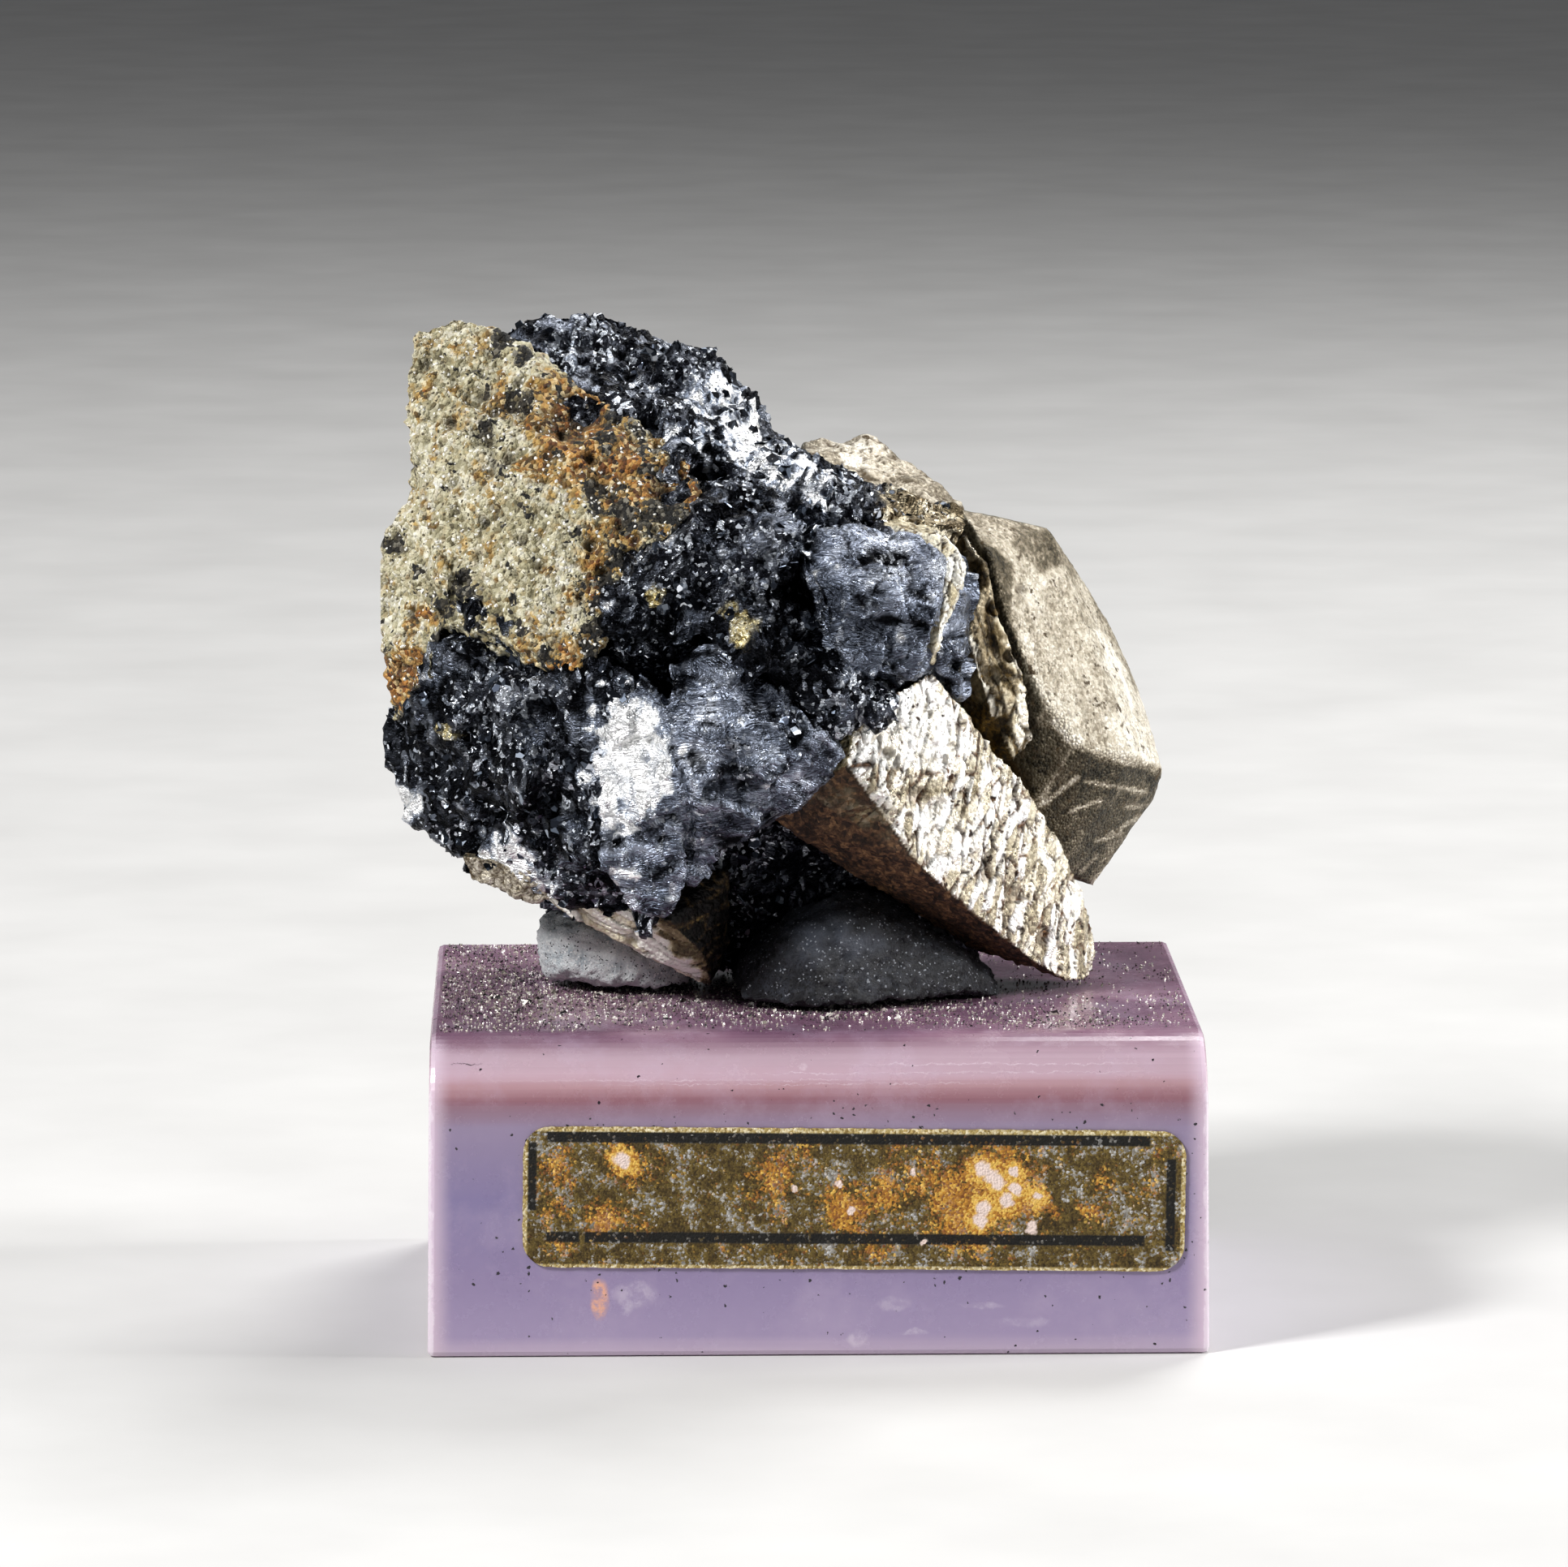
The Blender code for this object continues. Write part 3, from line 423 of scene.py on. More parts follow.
def ironBlackMaterial():
    # specular hematite, broken across its flakes: near-black metal that flashes where a flake faces the light;
    # glints on scattered flakes and highlights on some faces are also painted into its colour
    material, tree, shader, place = startMaterial("specular_hematite_broken")
    lobe, shine, gold, clusters, sunk, brassy = (
        addNode(tree, "Attribute", attribute_name=name).outputs["Fac"]
        for name in ("lobe", "shine", "gold", "clusters", "sunk", "brassy"))
    # flakes are long and bent, no two of a shape
    stir = addNode(tree, "TexNoise", {"Vector": place, "Scale": 1500.0, "Detail": 2.0})
    stirred = addNode(tree, "VectorMath", {0: stir.outputs["Color"], "Scale": 0.0006}, operation="SCALE")
    bent = addNode(tree, "VectorMath", {0: place, 1: stirred}, operation="ADD")
    slim = addNode(tree, "Mapping", {0: bent, "Rotation": (0.3, 0.6, 0.2), "Scale": (1.0, 1.0, 0.5)})
    coarse = addNode(tree, "TexVoronoi", {"Vector": slim, "Scale": 1 / (ironBlack["flakes"][0] * mm)})
    split = addNode(tree, "SeparateColor", {0: coarse.outputs["Color"]})
    fine = addNode(tree, "TexVoronoi", {"Vector": place, "Scale": 1 / (ironBlack["flakes"][1] * mm)})
    splitFine = addNode(tree, "SeparateColor", {0: fine.outputs["Color"]})
    # painted glints: single flakes given a pale colour, few in quiet places, many in glittering ones
    keen = addNode(tree, "Math", {0: clusters, 1: shine}, operation="MAXIMUM")
    rare = addNode(tree, "MapRange", {0: keen, 3: 0.985, 4: 0.90})
    small = addNode(tree, "Math", {0: splitFine.outputs[0], 1: rare}, operation="GREATER_THAN")
    broad = addNode(tree, "Math", {0: split.outputs[0], 1: rare}, operation="GREATER_THAN")
    flash = addNode(tree, "Math", {0: small, 1: broad}, operation="MAXIMUM")
    quiet = addNode(tree, "Math", {0: lobe, 1: -0.7, 2: 1.0}, operation="MULTIPLY_ADD")
    sparkle = addNode(tree, "Math", {0: flash, 1: quiet}, operation="MULTIPLY")
    flakyTone = addNode(tree, "ValToRGB", {0: split.outputs[1]}, stops=[
        (0.0, "#070709"), (0.5, "#0F1013"), (0.78, "#212329"), (0.92, "#4C505A"), (1.0, "#8B919C")])
    grey = addNode(tree, "ValToRGB", {0: split.outputs[1]}, stops=[
        (0.0, "#101115"), (0.4, "#2E3038"), (0.75, "#686D78"), (1.0, "#B4B8C0")])
    clustered = addNode(tree, "Math", {0: clusters, 1: 0.45}, operation="MULTIPLY")
    flaky = addNode(tree, "Mix", {0: clustered, 6: flakyTone, 7: grey}, data_type="RGBA")
    long = addNode(tree, "Mapping", {0: place, "Rotation": (0.0, 0.26, 0.0), "Scale": (420.0, 700.0, 1100.0)})
    silk = addNode(tree, "TexNoise", {
        "Vector": long, "Scale": 1.0, "Detail": 3.5, "Roughness": 0.6, "Distortion": 0.8})
    sheen = addNode(tree, "TexNoise", {"Vector": place, "Scale": 420.0, "Detail": 4.0, "Roughness": 0.6})
    lobeTone = addNode(tree, "ValToRGB", {0: sheen}, stops=[
        (0.36, "#434853"), (0.47, "#6C7381"), (0.56, "#959CAB"), (0.68, "#C3C8D2")])
    # thin black creases that run along the smooth lobes
    folded = addNode(tree, "Math", {0: silk, 1: 0.05}, operation="PINGPONG")
    thin = addNode(tree, "MapRange", {0: folded, 1: 0.003, 2: 0.013, 3: 1.0, 4: 0.0})
    patchy = addNode(tree, "TexNoise", {"Vector": place, "Scale": 650.0, "Detail": 3.0})
    crowd = addNode(tree, "MapRange", {0: patchy, 1: 0.42, 2: 0.58, 3: 0.15, 4: 1.0})
    creased = addNode(tree, "Math", {0: thin, 1: crowd}, operation="MULTIPLY")
    lobed = addNode(tree, "Mix", {0: creased, 6: lobeTone, 7: linear("#0C0D11")}, data_type="RGBA")
    tone = addNode(tree, "Mix", {0: lobe, 6: flaky, 7: lobed}, data_type="RGBA")
    # painted shade in the cracks and between the folds
    shaded = addNode(tree, "Mix", {0: sunk, 6: tone, 7: linear("#0D0E11")}, data_type="RGBA")
    lit = addNode(tree, "Mix", {0: sparkle, 6: shaded, 7: linear("#C9CED6")}, data_type="RGBA")
    # painted highlight: where the mask is strong the colour runs up to white
    brightMix = addNode(tree, "Mix", {0: 0.6, 2: split.outputs[2], 3: shine})
    brightTone = addNode(tree, "ValToRGB", {0: brightMix}, stops=[
        (0.15, "#565C68"), (0.4, "#98A0AE"), (0.6, "#DFE2E7"), (0.75, "#FFFFFF")])
    brighter = addNode(tree, "MapRange", {0: shine, 1: 0.1, 2: 0.5})
    etched = addNode(tree, "Math", {0: creased, 1: 0.6}, operation="MULTIPLY")
    brightMarked = addNode(tree, "Mix", {0: etched, 6: brightTone, 7: linear("#3A3D45")}, data_type="RGBA")
    brightShare = addNode(tree, "Mix", {0: brighter, 6: lit, 7: brightMarked}, data_type="RGBA")
    brassTone = addNode(tree, "ValToRGB", {0: split.outputs[2]}, stops=[
        (0.0, "#33291B"), (0.4, "#756851"), (0.75, "#A89B80"), (1.0, "#DCD4C0")])
    brightened = addNode(tree, "Mix", {0: brassy, 6: brightShare, 7: brassTone}, data_type="RGBA")
    goldTone = addNode(tree, "ValToRGB", {0: splitFine.outputs[2]}, stops=[
        (0.0, "#8C7640"), (0.4, "#DCCC94"), (1.0, "#FFF9E0")])
    final = addNode(tree, "Mix", {0: gold, 6: brightened, 7: goldTone}, data_type="RGBA")
    rough = addNode(tree, "MapRange", {0: splitFine.outputs[1], 3: 0.24, 4: 0.5})
    # every flake leans its own way
    normal = addNode(tree, "NewGeometry").outputs["Normal"]
    leanLobe = addNode(tree, "MapRange", {0: lobe, 3: 0.9, 4: 0.22})
    leanSize = addNode(tree, "Mix", {0: shine, 2: leanLobe, 3: 0.26})
    tilted = normal
    for cells in (coarse, fine):
        lean = addNode(tree, "VectorMath", {
            0: cells.outputs["Color"], 1: (0.5, 0.5, 0.5)}, operation="SUBTRACT")
        leaned = addNode(tree, "VectorMath", {0: lean, "Scale": leanSize}, operation="SCALE")
        tilted = addNode(tree, "VectorMath", {0: tilted, 1: leaned}, operation="ADD")
    unit = addNode(tree, "VectorMath", {0: tilted}, operation="NORMALIZE")
    wrinkle = addNode(tree, "TexNoise", {"Vector": place, "Scale": 3500.0, "Detail": 5.0, "Roughness": 0.7})
    height = addNode(tree, "Math", {0: folded, 1: 16.0, 2: wrinkle}, operation="MULTIPLY_ADD")
    bump = addNode(tree, "Bump", {
        "Height": height, "Distance": 0.00009, "Strength": 0.9, "Normal": unit})
    setInputs(tree, shader, {"Base Color": final, "Metallic": 1.0, "Roughness": rough, "Normal": bump})
    return material


# ochre crust

crust = {
    "voxel": 0.15,
    "grit": 0.24, "sand": 0.13,  # grains, across
    # where the crust ends against the black ore, seen from the front
    "border": (
        (-15.6, 50.6), (-13.0, 48.8), (-11.5, 48.5), (-10.0, 47.5), (-8.0, 45.5), (-6.3, 44.0), (-5.0, 42.5),
        (-6.5, 41.0), (-8.0, 40.0), (-10.5, 39.0), (-11.3, 37.5), (-11.2, 35.5), (-11.0, 33.0), (-12.5, 32.3),
        (-15.0, 34.0), (-16.0, 35.5), (-18.3, 37.3), (-19.0, 36.0), (-19.5, 33.5), (-21.3, 30.5),
        (-22.0, 30.0)),
    "lumps": {
        "slab": [
            (-20.4, 3.4, 51.2), (-18.6, 3.8, 52.0), (-16.4, 3.0, 51.4), (-21.1, 2.4, 49.0),
            (-20.6, 1.6, 45.6), (-20.7, 0.8, 43.2), (-20.9, 0.2, 38.0), (-20.6, -0.4, 35.6),
            (-13.0, -0.6, 48.9), (-10.4, -1.6, 47.6), (-7.6, -3.4, 45.4), (-5.6, -5.4, 43.0),
            (-6.8, -6.8, 40.6), (-10.4, -8.2, 37.0), (-11.2, -8.9, 34.0), (-12.4, -9.0, 32.8),
            (-14.8, -8.4, 34.6), (-19.4, -4.8, 36.0), (-15.0, -5.4, 42.0), (-18.0, 9.0, 48.0),
            (-20.5, 7.0, 40.0), (-9.0, 2.0, 44.0), (-12.0, -2.0, 34.0),
        ],
        "leftEdge": [
            (-21.0, 0.6, 42.4), (-22.2, 0.0, 40.2), (-22.8, -0.3, 38.6), (-22.6, -0.8, 36.8),
            (-22.0, -1.2, 35.4), (-22.2, -1.3, 32.8), (-21.9, -1.2, 30.6), (-20.4, -3.3, 30.8),
            (-19.6, -4.6, 33.2), (-18.8, -5.0, 38.6), (-20.5, 6.0, 39.0), (-20.0, 6.0, 31.0),
        ],
    },
    "pits": [
        (-12.4, 46.9, 1.8, 0.9), (-17.4, 47.8, 0.9, 0.7), (-15.4, 47.2, 1.1, 0.8), (-17.8, 49.6, 0.5, 0.4),
        (-16.6, 44.2, 1.0, 0.6), (-7.4, 43.2, 1.3, 0.9), (-11.0, 43.2, 1.0, 0.6), (-9.2, 45.2, 0.8, 0.5),
        (-17.2, 45.8, 0.9, 0.6), (-16.8, 41.6, 0.7, 0.4), (-14.2, 38.8, 0.5, 0.4), (-21.6, 40.0, 0.7, 0.5),
    ],
    # rusty places: x, z, radius, strength
    "rust": [
        (-12.2, 46.4, 3.4, 1.25), (-11.2, 44.4, 3.2, 1.0), (-13.6, 43.8, 2.4, 0.7), (-9.4, 43.4, 3.0, 0.95),
        (-7.0, 43.0, 2.6, 1.1), (-16.4, 47.6, 1.2, 0.8), (-12.6, 33.8, 2.2, 1.0), (-14.0, 35.4, 1.8, 0.6),
        (-21.6, 33.4, 2.2, 1.0), (-21.0, 32.0, 1.8, 0.9), (-20.4, 36.2, 1.4, 0.5), (-10.6, 40.4, 2.2, 0.7),
        (-11.2, 38.0, 2.0, 0.6), (-10.0, 47.2, 1.8, 0.7), (-8.0, 41.8, 1.6, 0.8), (-17.4, 50.6, 1.4, 0.4),
    ],
    # places darkened by iron-black grains
    "dark": [
        (-12.3, 47.2, 1.2, 0.75), (-9.6, 41.6, 2.2, 0.85), (-10.8, 42.6, 1.6, 0.7), (-8.2, 44.0, 2.0, 0.6),
        (-13.2, 45.2, 0.9, 0.6), (-15.4, 47.4, 1.3, 0.85), (-14.2, 48.2, 1.2, 0.6),
        (-16.8, 46.0, 1.2, 0.7), (-16.4, 44.0, 1.2, 0.7),
        (-10.2, 42.0, 1.4, 0.8), (-8.6, 44.8, 1.6, 0.75), (-7.2, 41.6, 1.4, 0.9), (-9.2, 40.6, 1.4, 0.9),
        (-10.4, 45.4, 1.2, 0.6), (-12.4, 40.8, 1.0, 0.5), (-11.8, 37.2, 1.2, 0.8), (-11.4, 35.6, 0.9, 0.8),
        (-16.0, 51.2, 1.5, 0.9), (-18.6, 50.2, 1.0, 0.4), (-22.0, 40.0, 0.9, 0.7), (-19.2, 36.6, 1.4, 0.9),
        (-18.0, 36.0, 1.0, 0.8), (-20.9, 44.4, 0.6, 0.4), (-15.2, 34.6, 1.0, 0.7), (-12.2, 49.0, 1.0, 0.6),
    ],
}


def crustMesh():
    mesh = hullsSkin(crust["lumps"].values(), crust["voxel"])
    co, normals = arrays(mesh)
    gridX, gridZ = onGrid(co)
    front = np.clip(-normals[:, 1], 0.0, 1.0)
    broad = swell(co, 4.0, 3, 1.0)
    coarse = grains(co, 1.0)
    middle = grains(co, 0.48, 3.0)
    lift = broad * 0.46 + coarse * 0.32 + middle * 0.2 - 0.2
    lift += swell(co, 0.55, 2, 2.0) * 0.12
    # small pits, a millimetre or less across, thick in some places and missing in others
    holes = each(co, lambda p: noise.voronoi(p / 1.35 + Vector((5.0, 1.0, 2.0)))[0][0])
    pitted = stepped(swell(co, 3.0, 2, 6.0), -0.5, 0.25)
    small = stepped(-holes, -0.36, -0.14) * pitted
    lift -= small * 0.55
    large = dots(gridX, gridZ, crust["pits"])
    lift -= large * front
    setPoints(mesh, co + normals * lift[:, None])
    ragged = swell(co, 1.1, 4, 3.0)
    toBorder = np.full(len(co), 99.0)
    for start, end in zip(crust["border"], crust["border"][1:]):
        toBorder = np.minimum(toBorder, distanceToLine(gridX, gridZ, start, end))
    nearBorder = np.clip(1.0 - toBorder / 1.5, 0.0, 1.0) * front
    dark = np.maximum(dots(gridX, gridZ, crust["dark"]) * 0.8, nearBorder)
    setAttributes(
        mesh,
        # painted shade: pits and the seams between grains
        pit=np.clip(small + large * 0.8 + 0.22 - middle + (0.2 - coarse) * 0.5, 0.0, 1.0),
        rust=stepped(dots(gridX, gridZ, crust["rust"]) + ragged * 0.8, 0.0, 1.0),
        dark=stepped(dark - ragged * 0.9, 0.28, 1.0),
        pale=stepped(broad + middle * 0.5, -0.2, 0.5))
    return mesh


def crustMaterial():
    # ochre gangue, weathered: dull granular stone, lighter on the raised grains, with painted shade in the pits
    # and the seams between grains, rusty in places
    material, tree, shader, place = startMaterial("weathered_ochre_crust")
    pit, rust, dark, pale = (
        addNode(tree, "Attribute", attribute_name=name).outputs["Fac"]
        for name in ("pit", "rust", "dark", "pale"))
    cloud = addNode(tree, "TexNoise", {"Vector": place, "Scale": 420.0, "Detail": 4.0})
    grit = addNode(tree, "TexVoronoi", {"Vector": place, "Scale": 1 / (crust["grit"] * mm)})
    gritSplit = addNode(tree, "SeparateColor", {0: grit.outputs["Color"]})
    sand = addNode(tree, "TexVoronoi", {"Vector": place, "Scale": 1 / (crust["sand"] * mm)})
    sandSplit = addNode(tree, "SeparateColor", {0: sand.outputs["Color"]})
    lightness = addNode(tree, "Math", {0: cloud, 1: gritSplit.outputs[0]}, operation="ADD")
    lightened = addNode(tree, "Math", {0: pale, 1: 0.4, 2: lightness}, operation="MULTIPLY_ADD")
    scaled = addNode(tree, "Math", {0: lightened, 1: 0.42}, operation="MULTIPLY")
    body = addNode(tree, "ValToRGB", {0: scaled}, stops=[
        (0.18, "#5C553C"), (0.34, "#A09876"), (0.52, "#CDC6A6"), (0.70, "#E4DFC9"), (0.85, "#F5F2E6")])
    rustTone = addNode(tree, "ValToRGB", {0: gritSplit.outputs[1]}, stops=[
        (0.0, "#24140A"), (0.3, "#6A3B17"), (0.55, "#A66A28"), (0.8, "#CC9850"), (1.0, "#E8D2A2")])
    ochreTone = addNode(tree, "ValToRGB", {0: gritSplit.outputs[1]}, stops=[
        (0.0, "#4E3A1A"), (0.4, "#93733A"), (0.8, "#C4A463"), (1.0, "#E6D7B0")])
    # colours change from grain to grain, so their borders are grainy too
    rustGrain = addNode(tree, "Math", {0: gritSplit.outputs[2], 1: 0.5, 2: rust}, operation="MULTIPLY_ADD")
    darkGrain = addNode(tree, "Math", {0: gritSplit.outputs[0], 1: 0.8, 2: dark}, operation="MULTIPLY_ADD")
    darkShare = addNode(tree, "MapRange", {0: darkGrain, 1: 0.82, 2: 0.92})
    ochreShare = addNode(tree, "MapRange", {0: rustGrain, 1: 0.3, 2: 0.75})
    rustShare = addNode(tree, "MapRange", {0: rustGrain, 1: 0.9, 2: 1.3})
    ochred = addNode(tree, "Mix", {0: ochreShare, 6: body, 7: ochreTone}, data_type="RGBA")
    rusty = addNode(tree, "Mix", {0: rustShare, 6: ochred, 7: rustTone}, data_type="RGBA")
    darkTone = addNode(tree, "ValToRGB", {0: gritSplit.outputs[2]}, stops=[
        (0.0, "#060606"), (0.5, "#121110"), (0.8, "#3A352B"), (1.0, "#8E897C")])
    darkened = addNode(tree, "Mix", {0: darkShare, 6: rusty, 7: darkTone}, data_type="RGBA")
    # painted shade: darker in the pits and between grains
    deepShare = addNode(tree, "Math", {0: pit, 1: 0.9}, operation="MULTIPLY")
    deep = addNode(tree, "Mix", {0: deepShare, 6: darkened, 7: linear("#2B2417")}, data_type="RGBA")
    # single grains with a painted glint, and single black grains
    glintSpeck = addNode(tree, "Math", {0: sandSplit.outputs[0], 1: 0.97}, operation="GREATER_THAN")
    sooty = addNode(tree, "Math", {0: sandSplit.outputs[1], 1: 0.95}, operation="GREATER_THAN")
    sooted = addNode(tree, "Mix", {0: sooty, 6: deep, 7: linear("#5A523E")}, data_type="RGBA")
    glinting = addNode(tree, "Mix", {0: glintSpeck, 6: sooted, 7: linear("#F3F1EA")}, data_type="RGBA")
    rough = addNode(tree, "MapRange", {0: glintSpeck, 3: 0.8, 4: 0.25})
    fine = addNode(tree, "TexNoise", {"Vector": place, "Scale": 5000.0, "Detail": 4.0, "Roughness": 0.7})
    seams = addNode(tree, "Math", {0: grit.outputs["Distance"], 1: -1.2, 2: fine}, operation="MULTIPLY_ADD")
    both = addNode(tree, "Math", {0: sand.outputs["Distance"], 1: -0.6, 2: seams}, operation="MULTIPLY_ADD")
    bump = addNode(tree, "Bump", {"Height": both, "Distance": 0.00016, "Strength": 1.0})
    setInputs(tree, shader, {"Base Color": glinting, "Roughness": rough, "Normal": bump})
    return material


# pyrite crystals

creamPyrite = {
    "metal": [(0.10, "#3C301E"), (0.30, "#8E7F5E"), (0.45, "#C9BD9C"), (0.60, "#EBE3CC"), (0.80, "#FCFAF0")],
    "side": [(0.15, "#0C0A08"), (0.38, "#1F1B15"), (0.55, "#8A7C5C"), (0.75, "#DAD0B4")],
    "brown": [(0.36, "#120D08"), (0.48, "#3E3020"), (0.6, "#7A6338"), (0.7, "#C0A468")],
    "gritShare": 0.3, "grit": 0.20, "plateShare": 0.5, "spots": 0.68,
    "metallic": 0.4, "rough": (0.3, 0.5), "bump": 0.10,
}

